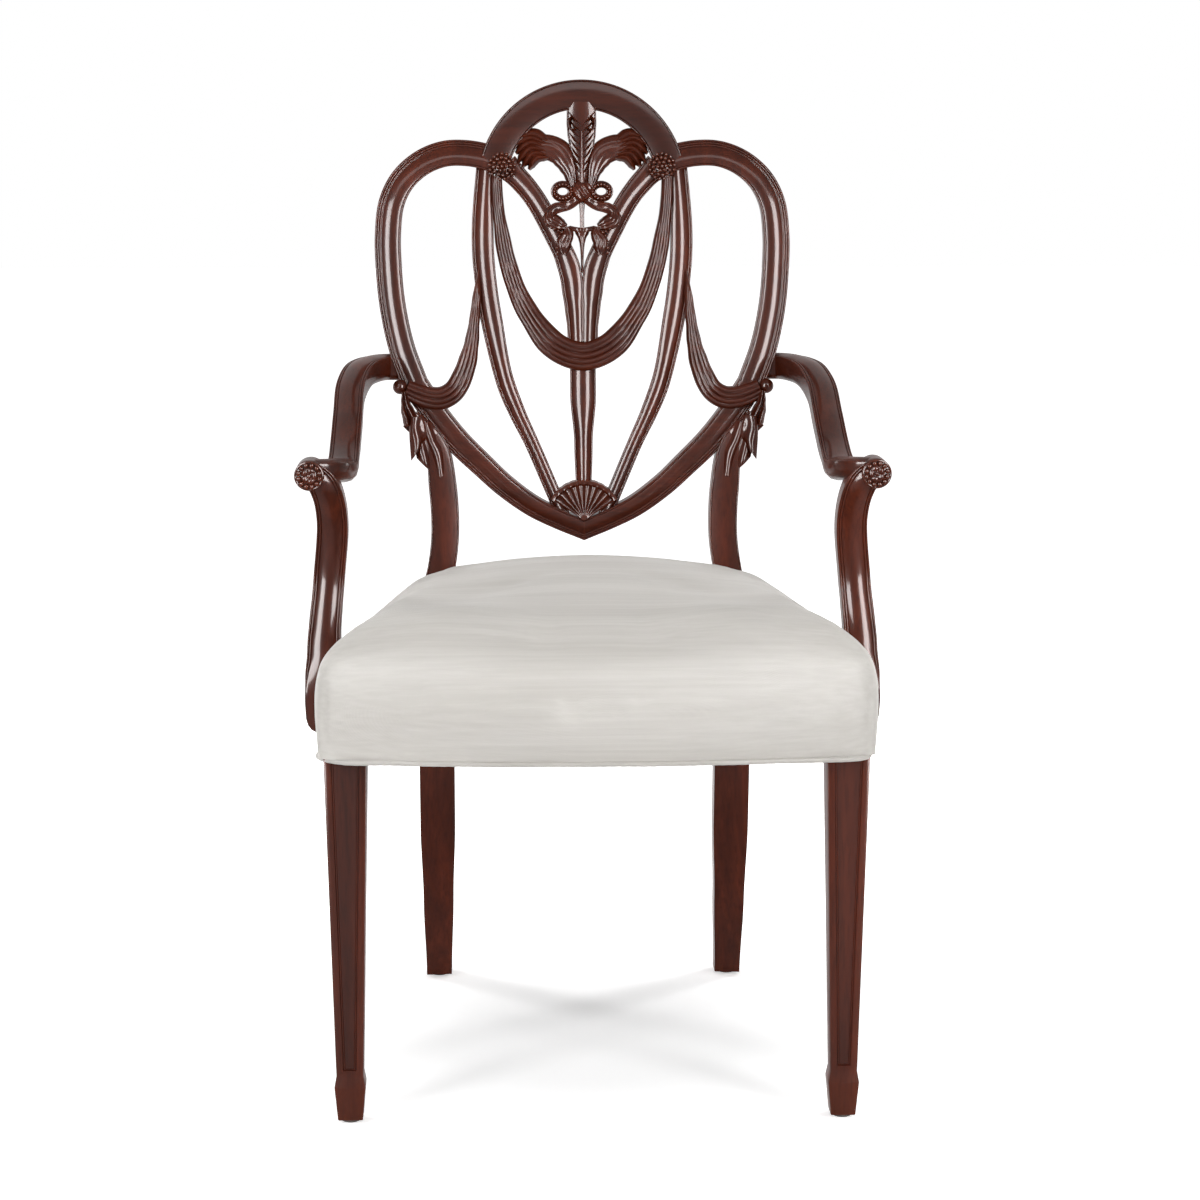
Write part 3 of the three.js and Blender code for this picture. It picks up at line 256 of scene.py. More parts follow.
@dataclass(frozen=True)
class Flutes(Section):
    """Folds of carved cloth, side by side over a rounded front."""

    folds: int = 4
    deep: float = 2.0 * MM
    round_share: float = 0.5
    sway: float = 0.05
    turns: float = 1.5

    def outline(self, share: Array, width: Array, front: Array, back: Array) -> Array:
        """See Section.outline."""
        half = width / 2
        points = []
        count = 8 * self.folds + 1
        for k in range(count):
            u = 2 * k / (count - 1) - 1
            edge = 1 - u * u
            swayed = u + self.sway * edge * np.sin(share * self.turns * 2 * math.pi + 0.7)
            phase = (swayed + 1) / 2 * self.folds
            fold = 1 - np.abs(np.sin(math.pi * phase)) ** 0.7
            dip = np.minimum(self.deep, width / self.folds * 0.34) * fold * (0.35 + 0.65 * edge)
            domed = (back - front) * self.round_share * (1 - np.sqrt(np.maximum(1 - abs(u) ** 2.4, 0)))
            points.append((half * u, front + domed + dip))
        return self.stacked(points + self.rear(half, back, half * 0.12))


@dataclass(frozen=True)
class Blade(Section):
    """A barb: a keel that falls away to thin edges."""

    keel: float = 0.6

    def outline(self, share: Array, width: Array, front: Array, back: Array) -> Array:
        """See Section.outline."""
        points = []
        for u in (-1, -0.8, -0.5, -0.2, 0, 0.2, 0.5, 0.8, 1):
            points.append((width / 2 * u, front + (back - front) * self.keel * abs(u) ** 1.4))
        return self.stacked(points + self.rear(width / 2, back, width * 0.05))


@dataclass(frozen=True)
class Ribbon(Section):
    """A ribbon with a raised hem on both sides and a lengthwise crease."""

    hem: float = 0.9 * MM
    ripples: float = 0

    def outline(self, share: Array, width: Array, front: Array, back: Array) -> Array:
        """See Section.outline."""
        half = width / 2
        ripple = 0.8 * MM * np.sin(share * self.ripples * 2 * math.pi) if self.ripples else share * 0
        stops = [(-1, 1.9), (-0.98, 0.6), (-0.86, 0), (-0.68, 0.2), (-0.55, 1.2), (-0.3, 1.5), (-0.1, 1.9)]
        left = [(half * u, front + self.hem * d + ripple * (1 - abs(u))) for u, d in stops]
        right = [(-a, d) for a, d in reversed(left)]
        return self.stacked(left + right + self.rear(half, back, half * 0.2))


def sideways(tangent: Array) -> Array:
    """Unit vectors square to a line, level from front to back.

    Args:
        tangent: the line's directions, one per row.

    Returns:
        Vectors, one per row.
    """
    level = tangent * (1, 0, 1)
    level = level / np.linalg.norm(level, axis=1)[:, None]
    return level[:, ::-1] * (-1, 1, 1)


def swept(section: Section, own: Array, line: tuple[Array, Array], widths: Array,
          front: Array, back: Array) -> Array:
    """Sweeps a section along a line, with its depth always from front to back.

    Args:
        section: the cross-section.
        own: shares of the piece's own length, one per step.
        line: points and directions of its centre line.
        widths: its widths.
        front: depths of its front.
        back: depths of its back.

    Returns:
        An array of steps, points and (x, y, z).
    """
    middle, tangent = line
    outline = section.outline(own, widths, front, back)
    rows = middle[:, None] + outline[..., :1] * sideways(tangent)[:, None]
    rows[..., 1] += outline[..., 1]
    return rows


# Meshes


def select_only(piece: Piece) -> None:
    """Deselects everything, then selects one object.

    Args:
        piece: that object, which becomes the active one too.
    """
    bpy.ops.object.select_all(action="DESELECT")
    piece.select_set(True)
    bpy.context.view_layer.objects.active = piece


@contextmanager
def edit_mode(piece: Piece) -> Iterator[None]:
    """Opens one mesh in edit mode, and closes it again.

    Args:
        piece: the mesh object.

    Yields:
        Nothing.
    """
    select_only(piece)
    bpy.ops.object.mode_set(mode="EDIT")
    yield
    bpy.ops.object.mode_set(mode="OBJECT")


def newest(name: str) -> Piece:
    """Names the object that was just added, and its mesh.

    Args:
        name: the name for both.

    Returns:
        The object.
    """
    piece = bpy.context.active_object
    piece.name = name
    piece.data.name = name
    return piece


def primitive(name: str, add: Callable[..., object], **settings: object) -> Piece:
    """Adds a primitive, with nothing else selected.

    Args:
        name: its name.
        add: the operator that adds it.
        settings: its sizes and place.

    Returns:
        The mesh object.
    """
    bpy.ops.object.select_all(action="DESELECT")
    add(**settings)
    return newest(name)


def welded(piece: Piece, fill: bool = True) -> Piece:
    """Welds doubles, fills open ends and turns the faces outwards.

    Args:
        piece: the mesh object.
        fill: whether to fill open ends.

    Returns:
        The same object.
    """
    with edit_mode(piece):
        bpy.ops.mesh.select_all(action="SELECT")
        bpy.ops.mesh.remove_doubles(threshold=1e-6)
        if fill:
            bpy.ops.mesh.fill_holes(sides=0)
        bpy.ops.mesh.select_all(action="SELECT")
        bpy.ops.mesh.normals_make_consistent(inside=False)
    return piece


def spread(name: str, rows: Array) -> Piece:
    """Lays a grid of faces over rows of points.

    Args:
        name: the piece's name.
        rows: an array of rows, points and (x, y, z).

    Returns:
        An open mesh object.
    """
    count, across = rows.shape[:2]
    piece = primitive(name, bpy.ops.mesh.primitive_grid_add, x_subdivisions=across - 1,
                      y_subdivisions=count - 1, size=1)
    if len(piece.data.vertices) != count * across:
        raise ValueError(f"{name}: the grid has {len(piece.data.vertices)} vertices")
    piece.data.vertices.foreach_set("co", rows.reshape(-1).astype(np.float32))
    piece.data.update()
    return piece


def wrapped(name: str, rows: Array, tube: bool = True, loop: bool = False) -> Piece:
    """Wraps a grid of faces round rows of points.

    Args:
        name: the piece's name.
        rows: an array of rows, points and (x, y, z).
        tube: whether each row closes on itself.
        loop: whether the last row runs on into the first.

    Returns:
        A closed mesh object.
    """
    if tube:
        rows = np.concatenate([rows, rows[:, :1]], axis=1)
    if loop:
        rows = np.concatenate([rows, rows[:1]], axis=0)
    return welded(spread(name, rows))


def cut(piece: Piece, place: Vector, normal: Vector) -> Piece:
    """Saws off what lies beyond a plane and closes the cut.

    Args:
        piece: the mesh object.
        place: a point on the plane.
        normal: the side that goes.

    Returns:
        The same object.
    """
    with edit_mode(piece):
        bpy.ops.mesh.select_all(action="SELECT")
        bpy.ops.mesh.bisect(plane_co=place, plane_no=normal, use_fill=True, clear_outer=True)
        bpy.ops.mesh.select_all(action="SELECT")
        bpy.ops.mesh.normals_make_consistent(inside=False)
    return piece


def pick(piece: Piece, normal: Vector, largest: bool = False) -> None:
    """Selects the faces that point a way.

    Args:
        piece: the mesh object.
        normal: that way.
        largest: whether to select only the largest of them.
    """
    select_only(piece)
    faces = [f for f in piece.data.polygons if f.normal.dot(normal) > 0.97]
    if largest:
        faces = [max(faces, key=lambda f: f.area)]
    for part in (piece.data.vertices, piece.data.edges, piece.data.polygons):
        part.foreach_set("select", [False] * len(part))
    for face in faces:
        face.select = True


def joined(name: str, parts: Sequence[Piece]) -> Piece:
    """Joins mesh objects into one.

    Args:
        name: the new piece's name.
        parts: the objects, at least one.

    Returns:
        The joined object.
    """
    select_only(parts[0])
    for part in parts:
        part.select_set(True)
    if len(parts) > 1:
        bpy.ops.object.join()
    return newest(name)


def moved(piece: Piece, place: Callable[[Array], Array]) -> Piece:
    """Moves every vertex of a mesh.

    Args:
        piece: the mesh object.
        place: gives the new places from the old ones, one per row.

    Returns:
        The same object.
    """
    flat = np.empty(len(piece.data.vertices) * 3, np.float32)
    piece.data.vertices.foreach_get("co", flat)
    after = place(flat.reshape(-1, 3).astype(float))
    piece.data.vertices.foreach_set("co", after.reshape(-1).astype(np.float32))
    piece.data.update()
    return piece


def apply(piece: Piece, kind: str, **settings: object) -> None:
    """Adds a modifier and applies it.

    Args:
        piece: the mesh object.
        kind: the modifier's type.
        settings: its properties.
    """
    select_only(piece)
    modifier = piece.modifiers.new(kind.title(), kind)
    for key, value in settings.items():
        setattr(modifier, key, value)
    bpy.ops.object.modifier_apply(modifier=modifier.name)


def copied(piece: Piece, name: str, offset: Vector) -> Piece:
    """Copies a piece, with its own mesh.

    Args:
        piece: the object to copy.
        name: the copy's name.
        offset: how far the copy's mesh is shifted.

    Returns:
        The copy.
    """
    twin = piece.copy()
    twin.data = piece.data.copy()
    twin.name = name
    twin.data.name = name
    bpy.context.collection.objects.link(twin)
    return moved(twin, lambda v: v + np.array(offset))


def ball(name: str, centre: Sequence[float], radius: float, segments: int = 12, rings: int = 8,
         squash: float = 1.0) -> Piece:
    """A small carved bead.

    Args:
        name: the piece's name.
        centre: its middle.
        radius: its radius.
        segments: how many faces it has round its waist.
        rings: how many faces it has from pole to pole.
        squash: its depth, as a share of its width.

    Returns:
        The mesh object.
    """
    piece = primitive(name, bpy.ops.mesh.primitive_uv_sphere_add, segments=segments, ring_count=rings,
                      radius=radius)
    return moved(piece, lambda v: v * np.array([1, squash, 1]) + np.array(centre))


# Finishes


class Grain(Enum):
    """The way the wood's grain runs in a piece."""

    UPRIGHT = (26.0, 26.0, 2.6)
    LEVEL = (2.6, 26.0, 26.0)
    FORWARD = (26.0, 3.0, 26.0)


class Nodes:
    """A short way to lay out shader nodes in a material or a group."""

    def __init__(self, tree: bpy.types.NodeTree) -> None:
        """Keeps the tree and clears it."""
        self.tree = tree
        tree.nodes.clear()

    def add(self, kind: str, values: dict[str | int, object] | None = None, **settings: object) -> Node:
        """Adds a node.

        Args:
            kind: the node type without its ShaderNode prefix.
            values: socket values or linked sockets, by input name or number.
            settings: node properties.

        Returns:
            The node.
        """
        node = self.tree.nodes.new(kind if kind.startswith("NodeGroup") else "ShaderNode" + kind)
        for key, value in settings.items():
            setattr(node, key, value)
        for key, value in (values or {}).items():
            socket = node.inputs[key]
            if isinstance(value, bpy.types.NodeSocket):
                self.tree.links.new(value, socket)
            else:
                socket.default_value = value
        return node

    def math(self, operation: str, *values: object) -> Socket:
        """A Math node's result."""
        return self.add("Math", dict(enumerate(values)), operation=operation).outputs[0]

    def noise(self, vector: Socket, scale: float, detail: float, roughness: float = 0.5) -> Socket:
        """A Noise Texture's value."""
        values = {"Vector": vector, "Scale": scale, "Detail": detail, "Roughness": roughness}
        return self.add("TexNoise", values).outputs[0]

    def scaled(self, vector: Socket, scale: Place) -> Socket:
        """A vector that is stretched along each axis."""
        return self.add("Mapping", {"Vector": vector, "Scale": scale}).outputs[0]

    def ranged(self, value: Socket, low: float, high: float, start: float = 0.0, stop: float = 1.0) -> Socket:
        """A value from low to high, turned into one from start to stop."""
        values = {"Value": value, "From Min": low, "From Max": high, "To Min": start, "To Max": stop}
        return self.add("MapRange", values).outputs[0]

    def ramp(self, factor: Socket, stops: Sequence[tuple[float, Place]]) -> Socket:
        """A colour ramp.

        Args:
            factor: what it is read at.
            stops: places on it and their colours, two or more.

        Returns:
            The colour.
        """
        node = self.add("ValToRGB", {"Fac": factor})
        elements = node.color_ramp.elements
        while len(elements) < len(stops):
            elements.new(0.5)
        for element, (place, colour) in zip(elements, stops):
            element.position = place
            element.color = (*colour, 1)
        return node.outputs["Color"]

    def mix(self, factor: Socket, first: object, second: object) -> Socket:
        """Mixes two colours.

        Args:
            factor: the second one's share.
            first: a colour or a socket.
            second: a colour or a socket.

        Returns:
            The mixed colour.
        """
        return self.add("Mix", {0: factor, 6: first, 7: second}, data_type="RGBA").outputs[2]


def group(name: str, inputs: dict[str, tuple[str, object]], outputs: Sequence[str]) -> tuple[Nodes, Node]:
    """Starts a node group.

    Args:
        name: the group's name.
        inputs: socket type and default, by name.
        outputs: names of the numbers that it puts out.

    Returns:
        The group's nodes and its input node.
    """
    tree = bpy.data.node_groups.new(name, "ShaderNodeTree")
    for key, (kind, default) in inputs.items():
        socket = tree.interface.new_socket(key, in_out="INPUT", socket_type=kind)
        if default is not None:
            socket.default_value = default
    for key in outputs:
        tree.interface.new_socket(key, in_out="OUTPUT", socket_type="NodeSocketFloat")
    nodes = Nodes(tree)
    return nodes, nodes.add("NodeGroupInput")


def figure_group() -> bpy.types.NodeTree:
    """Wood figure, from a stretched vector: broad mottled streaks and fine pores.

    Returns:
        The group.
    """
    nodes, inside = group("wood_figure", {"Vector": ("NodeSocketVector", None)}, ("Figure", "Pores"))
    vector = inside.outputs["Vector"]
    warp = nodes.add("TexNoise", {"Vector": vector, "Scale": 0.7, "Detail": 2.0})
    bent = nodes.add("VectorMath", {0: vector, 1: warp.outputs["Color"]}, operation="ADD")
    streak = nodes.noise(bent.outputs[0], 1.6, 6.0, 0.62)
    mottle = nodes.noise(vector, 0.35, 1.0)
    figure = nodes.math("MULTIPLY_ADD", streak, 0.65, nodes.math("MULTIPLY", mottle, 0.35))
    pores = nodes.ranged(nodes.noise(vector, 14.0, 3.0), 0.36, 0.5)
    nodes.add("NodeGroupOutput", {"Figure": figure, "Pores": pores})
    return nodes.tree


def hollow_shade_edge_light_group() -> bpy.types.NodeTree:
    """Masks for hollows, to take glaze and painted shade, and for edges, to take rub and painted highlight.

    Returns:
        The group.
    """
    nodes, inside = group("hollows_and_edges", {"Patchiness": ("NodeSocketFloat", 0.5)}, ("Hollows", "Edges"))
    point = nodes.add("NewGeometry").outputs["Pointiness"]
    where = nodes.add("TexCoord").outputs["Object"]
    patchy = nodes.math("MULTIPLY", nodes.noise(where, 45.0, 2.0), inside.outputs["Patchiness"])
    kept = nodes.math("SUBTRACT", 1.0, patchy)
    # Hollows: painted shade in grooves as well as gathered polish; Edges: painted highlight as well as rubbed
    # polish
    edges = nodes.math("MULTIPLY", nodes.ranged(point, 0.53, 0.6), kept)
    nodes.add("NodeGroupOutput", {"Hollows": nodes.ranged(point, 0.5, 0.43), "Edges": edges})
    return nodes.tree


def weave_group() -> bpy.types.NodeTree:
    """Fine satin threads with irregular slubs: a tone and a height.

    Returns:
        The group.
    """
    nodes, inside = group("slubbed_weave", {"Vector": ("NodeSocketVector", None)}, ("Tone", "Height"))
    vector = inside.outputs["Vector"]
    slub = nodes.noise(nodes.scaled(vector, (5.0, 260.0, 260.0)), 1.0, 4.0, 0.6)
    bands = nodes.noise(nodes.scaled(vector, (1.6, 26.0, 26.0)), 1.0, 3.0, 0.55)
    weft, warp = (nodes.add("TexWave", {"Vector": vector, "Scale": scale, "Distortion": bend, "Detail": 1.0},
                            wave_type="BANDS", bands_direction=way).outputs["Fac"]
                  for scale, bend, way in ((520.0, 1.2, "Y"), (640.0, 0.8, "X")))
    tone = nodes.math("MULTIPLY_ADD", slub, 0.45, nodes.math("MULTIPLY", bands, 0.55))
    threads = nodes.math("MULTIPLY_ADD", weft, 0.35, nodes.math("MULTIPLY", warp, 0.2))
    nodes.add("NodeGroupOutput", {"Tone": tone, "Height": nodes.math("MULTIPLY_ADD", slub, 0.8, threads)})
    return nodes.tree


@dataclass(frozen=True)
class Recipe:
    """How one finish of the chair is laid out."""

    name: str

    def shader(self, nodes: Nodes, shop: "Finishes") -> Node:
        """Lays out the finish.

        Args:
            nodes: the material's nodes.
            shop: holds the shared groups.

        Returns:
            The shader node.
        """
        raise NotImplementedError

    def made(self, shop: "Finishes") -> bpy.types.Material:
        """Builds the material.

        Args:
            shop: holds the shared groups.

        Returns:
            The material.
        """
        material = bpy.data.materials.new(self.name)
        material.use_nodes = True
        nodes = Nodes(material.node_tree)
        nodes.add("OutputMaterial", {"Surface": self.shader(nodes, shop).outputs[0]})
        return material


@dataclass(frozen=True)
class Polish(Recipe):
    """Stained and lacquered wood."""

    grain: Grain
    dark: Place = (0.025, 0.0046, 0.0018)
    light: Place = (0.127, 0.0222, 0.0078)
    # rub: lighter edge colour, rubbed wood and painted highlight; glaze: dark hollow colour, glaze and
    # painted shade
    rub_and_highlight: Place = (0.17, 0.045, 0.022)
    glaze_and_painted_shade: Place = (0.008, 0.0022, 0.0014)
    coat: float = 0.19
    roughness: tuple[float, float] = (0.3, 0.42)
    pore_height: float = 0.06 * MM

    def shader(self, nodes: Nodes, shop: "Finishes") -> Node:
        """See Recipe.shader."""
        stretched = nodes.scaled(nodes.add("TexCoord").outputs["Object"], self.grain.value)
        figure = nodes.add("Group", {"Vector": stretched}, node_tree=shop.figure).outputs
        masks = nodes.add("Group", node_tree=shop.glaze_and_painted_shade).outputs
        between = tuple((a + b) / 2.3 for a, b in zip(self.dark, self.light))
        colour = nodes.ramp(figure["Figure"], [(0.3, self.dark), (0.5, between), (0.72, self.light)])
        deepened = nodes.mix(nodes.math("MULTIPLY", figure["Pores"], 0.28), (*self.dark, 1), colour)
        deepened = nodes.mix(nodes.math("MULTIPLY_ADD", figure["Pores"], -0.3, 0.3), colour, deepened)
        # sharp edges lightened: rubbed wood and painted highlight
        rubbed_and_highlit = nodes.mix(nodes.math("MULTIPLY", masks["Edges"], 0.45), deepened, (*self.rub_and_highlight, 1))
        # hollows darkened: glaze and painted shade
        glazed_and_shaded = nodes.mix(nodes.math("MULTIPLY", masks["Hollows"], 0.4), rubbed_and_highlit, (*self.glaze_and_painted_shade, 1))
        rough = nodes.ranged(figure["Figure"], 0.0, 1.0, *self.roughness)
        duller = nodes.math("MULTIPLY_ADD", masks["Hollows"], 0.25, rough)
        bump = nodes.add("Bump", {"Height": figure["Pores"], "Strength": 0.35, "Distance": self.pore_height})
        return nodes.add("BsdfPrincipled", {
            "Base Color": glazed_and_shaded, "Roughness": duller, "Normal": bump.outputs[0], "Coat Weight": self.coat,
            "Coat Roughness": 0.12, "Coat IOR": 1.5, "IOR": 1.45, "Specular IOR Level": 0.03,
        })


@dataclass(frozen=True)
class Satin(Recipe):
    """Slubbed satin with a soft sheen."""

    light: Place = (0.6, 0.58, 0.55)
    shade: Place = (0.51, 0.49, 0.46)
    soil: Place = (0.56, 0.50, 0.42)
    roughness: tuple[float, float] = (0.38, 0.56)
    sheen: float = 0.25
    thread_height: float = 0.25 * MM

    def shader(self, nodes: Nodes, shop: "Finishes") -> Node:
        """See Recipe.shader."""
        where = nodes.add("TexCoord").outputs["Object"]
        weave = nodes.add("Group", {"Vector": where}, node_tree=shop.weave).outputs
        colour = nodes.ramp(weave["Tone"], [(0.36, self.shade), (0.62, self.light)])
        soiled = nodes.math("MULTIPLY", nodes.noise(where, 9.0, 2.0), 0.12)
        warm = nodes.mix(soiled, colour, (*self.soil, 1))
        rough = nodes.ranged(weave["Tone"], 0.0, 1.0, *self.roughness)
        bump = nodes.add("Bump", {"Height": weave["Height"], "Strength": 0.5, "Distance": self.thread_height})
        return nodes.add("BsdfPrincipled", {
            "Base Color": warm, "Roughness": rough, "Normal": bump.outputs[0],
            "Sheen Weight": self.sheen, "Sheen Roughness": 0.4, "Specular IOR Level": 0.08,
        })


@dataclass(frozen=True)
class Plain(Recipe):
    """A quiet finish for hidden and small pieces: two tones of noise and a slight bump."""

    dark: Place
    light: Place
    roughness: float
    scale: Place
    metallic: float = 0.0
    height: float = 0.2 * MM

    def shader(self, nodes: Nodes, shop: "Finishes") -> Node:
        """See Recipe.shader."""
        tone = nodes.noise(nodes.scaled(nodes.add("TexCoord").outputs["Object"], self.scale), 1.0, 5.0)
        masks = nodes.add("Group", node_tree=shop.glaze_and_painted_shade).outputs
        colour = nodes.ramp(tone, [(0.35, self.dark), (0.65, self.light)])
        # sharp edges lightened: wear and painted highlight
        worn_and_highlit = nodes.mix(nodes.math("MULTIPLY", masks["Edges"], 0.3), colour, (*self.light, 1))
        rough = nodes.ranged(tone, 0.0, 1.0, self.roughness - 0.08, self.roughness + 0.08)
        bump = nodes.add("Bump", {"Height": tone, "Strength": 0.4, "Distance": self.height})
        return nodes.add("BsdfPrincipled", {"Base Color": worn_and_highlit, "Roughness": rough, "Normal": bump.outputs[0],
                                            "Metallic": self.metallic})


class Finishes:
    """Every material of the chair, made once."""

    def __init__(self) -> None:
        """Builds the shared groups and the materials."""
        self.figure = figure_group()
        # masks for painted shade in hollows and for lighter edges, partly painted highlight
        self.glaze_and_painted_shade = hollow_shade_edge_light_group()
        self.weave = weave_group()
        recipes = [
            Polish("mahogany_upright", Grain.UPRIGHT), Polish("mahogany_level", Grain.LEVEL),
            Polish("mahogany_forward", Grain.FORWARD, (0.021, 0.0039, 0.0015), (0.108, 0.019, 0.0066)),
            Satin("satin"),
            # the level mahogany made darker for the crest arch: painted shade on its lit face
            Polish("mahogany_crest", Grain.LEVEL, (0.015, 0.0027, 0.0011), (0.078, 0.0132, 0.0046)),
            Satin("welt_satin", light=(0.54, 0.52, 0.495), shade=(0.45, 0.43, 0.40)),
            Plain("rail_wood", (0.33, 0.21, 0.12), (0.52, 0.36, 0.22), 0.75, (8.0, 90.0, 90.0)),
            Plain("webbing", (0.22, 0.16, 0.1), (0.4, 0.31, 0.2), 0.9, (400.0, 400.0, 20.0)),
            Plain("cambric", (0.006, 0.006, 0.007), (0.016, 0.016, 0.018), 0.95, (700.0, 700.0, 700.0)),
            Plain("steel", (0.42, 0.41, 0.38), (0.62, 0.6, 0.56), 0.35, (300.0, 300.0, 40.0), metallic=1.0),
            Plain("nylon", (0.035, 0.022, 0.014), (0.06, 0.04, 0.028), 0.5, (200.0, 200.0, 200.0)),
            Plain("foam", (0.62, 0.54, 0.3), (0.8, 0.72, 0.46), 0.95, (500.0, 500.0, 500.0)),
        ]
        self.made = {recipe.name: recipe.made(self) for recipe in recipes}

    def dress(self, piece: Piece, finish: str) -> None:
        """Gives a piece one finish."""
        piece.data.materials.clear()
        piece.data.materials.append(self.made[finish])


@dataclass
class Workshop:
    """Finishes pieces and hands them to the frame."""

    finishes: Finishes

    def hand_over(self, piece: Piece, finish: str, slot: str, *nodes: str, angle: float = 38.0) -> None:
        """Smooths, dresses and attaches a piece.

        Args:
            piece: the finished mesh.
            finish: name of its material.
            slot: the record's material slot; not used.
            nodes: the frame's nodes that it stands for.
            angle: edges sharper than this stay crisp, in degrees.
        """
        select_only(piece)
        bpy.ops.object.shade_smooth_by_angle(angle=math.radians(angle))
        self.finishes.dress(piece, finish)
        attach(piece, "root")
        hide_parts(*nodes)
        log.info("%s: %d faces", piece.name, len(piece.data.polygons))

    def carved(self, piece: Piece, node: str, grain: Grain = Grain.UPRIGHT, angle: float = 38.0) -> None:
        """Hands over a carved piece that stands for one node, its grain running one way."""
        self.hand_over(piece, f"mahogany_{grain.name.lower()}", "mahogany", node, angle=angle)


# The raked back


@dataclass(frozen=True)
class Lean:
    """Where the middle of the back lies in depth, at a place in its flat drawing."""

    half_width: float = 226 * MM
    pivot_height: float = 440 * MM
    softening: float = 40 * MM
    angle: float = math.radians(12)
    foot_splay: float = 72 * MM
    plan_bow: float = 15 * MM
    pivot_y: float = 416 * MM
    front_leg_y: float = -1 * MM

    def start(self) -> float:
        """How far the drawing's zero is from the frame's, front to back."""
        low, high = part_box("front_leg_left")
        return (low[1] + high[1]) / 2 - self.front_leg_y

    def depth(self, x: Array | float, z: Array | float) -> Array | float:
        """Where the middle of the back lies, front to back.

        Args:
            x: places across.
            z: heights.

        Returns:
            Its Y there.
        """
        above = np.maximum(z - self.pivot_height, 0)
        below = np.maximum(self.pivot_height - z, 0) / self.pivot_height
        reach = np.hypot(above, self.softening) - self.softening
        bow = 1 - (x / self.half_width) ** 2
        leaned = self.start() + self.pivot_y + math.tan(self.angle) * reach
        return leaned + self.foot_splay * below**2 + self.plan_bow * bow

    def placed(self, flat: Array) -> Array:
        """Leans points that are drawn flat.

        Args:
            flat: points, with their depth in Y.

        Returns:
            The leaned points.
        """
        leaned = flat.copy()
        leaned[..., 1] += self.depth(flat[..., 0], flat[..., 2])
        return leaned


@dataclass
class FlatCarver:
    """Carves pieces of the back in a flat drawing and leans them into place."""

    lean: Lean
    base: float = 512 * MM
    height: float = 488 * MM
    step: float = 2.4 * MM

    def point(self, share: tuple[float, float], side: int = 1) -> Place:
        """A place in the shield, from shares of its half-width and height."""
        return (side * share[0] * self.lean.half_width, 0.0, self.base + share[1] * self.height)

    def line(self, shares: Shares, side: int = 1) -> Line:
        """A line in the shield, through shares of its half-width and height."""
        return Line(tuple(self.point(share, side) for share in shares))

    def spot(self, x: float, depth: float, z: float) -> Array:
        """A place in the drawing, leaned."""
        return self.lean.placed(np.array([x, depth, z]))

    def bar(self, name: str, line: Line, section: Section, widths: Sequence[float], front: float, back: float,
            span: tuple[float, float] = (0.0, 1.0), lift: Sequence[float] = (0.0, 0.0),
            loop: bool = False) -> Piece:
        """Sweeps a section along a line, and leans it.

        Args:
            name: the piece's name.
            line: its centre line, drawn flat.
            section: its cross-section.
            widths: evenly spaced widths along it.
            front: depth of its front.
            back: depth of its back.
            span: shares of the line where it starts and ends.
            lift: evenly spaced amounts by which the whole bar stands further forward.
            loop: whether the line closes.

        Returns:
            The mesh object.
        """
        steps = max(8, round(line.length() * (span[1] - span[0]) / self.step))
        own = np.linspace(0, 1, steps + 1)[: steps if loop else None]
        middle, tangent = line.at(span[0] + own * (span[1] - span[0]))
        if loop:
            middle, tangent = self.looped(middle)
        raised = smoothed(lift, own)
        rows = swept(section, own, (middle, tangent), smoothed(widths, own), front - raised, back - raised)
        return wrapped(name, self.lean.placed(rows), loop=loop)

    @staticmethod
    def looped(middle: Array) -> tuple[Array, Array]:
        """Points of a closed line, with tangents that join up."""
        tangent = np.roll(middle, -1, axis=0) - np.roll(middle, 1, axis=0)
        return middle, tangent / np.linalg.norm(tangent, axis=1)[:, None]

    def boss(self, name: str, centre: Place, radius: float, profile: Callable[[Array, Array], Array],
             rim: Callable[[Array], Array], back: float, spokes: int = 72, rings: int = 14,
             turn: tuple[float, float] = (0.0, 2 * math.pi)) -> Piece:
        """A carved disc, or a part of one.

        Args:
            name: the piece's name.
            centre: its centre in the flat drawing.
            radius: its radius.
            profile: gives the front's depth from a share of the radius and an angle.
            rim: gives the outline's share of the radius from an angle.
            back: depth of its flat back.
            spokes: how many spokes.
            rings: how many rings.
            turn: the angles between which it lies.

        Returns:
            The mesh object.
        """
        whole = turn[1] - turn[0] > 2 * math.pi - 0.01
        angles = np.linspace(*turn, spokes, endpoint=not whole)[:, None]
        shares = np.linspace(0 if whole else 0.03, 1, rings)[None]
        reach = radius * shares * rim(angles)
        front = profile(np.broadcast_to(shares, reach.shape), np.broadcast_to(angles, reach.shape))
        cx, cy, cz = centre
        face = np.stack([cx + reach * np.cos(angles), cy + front, cz + reach * np.sin(angles)], axis=-1)
        behind = face[:, ::-1].copy()
        behind[..., 1] = cy + back
        rows = self.lean.placed(np.concatenate([face, behind], axis=1))
        return wrapped(name, rows, tube=not whole, loop=whole)


# Middle lines of the back's pieces on the right, as shares of the shield's half-width and height


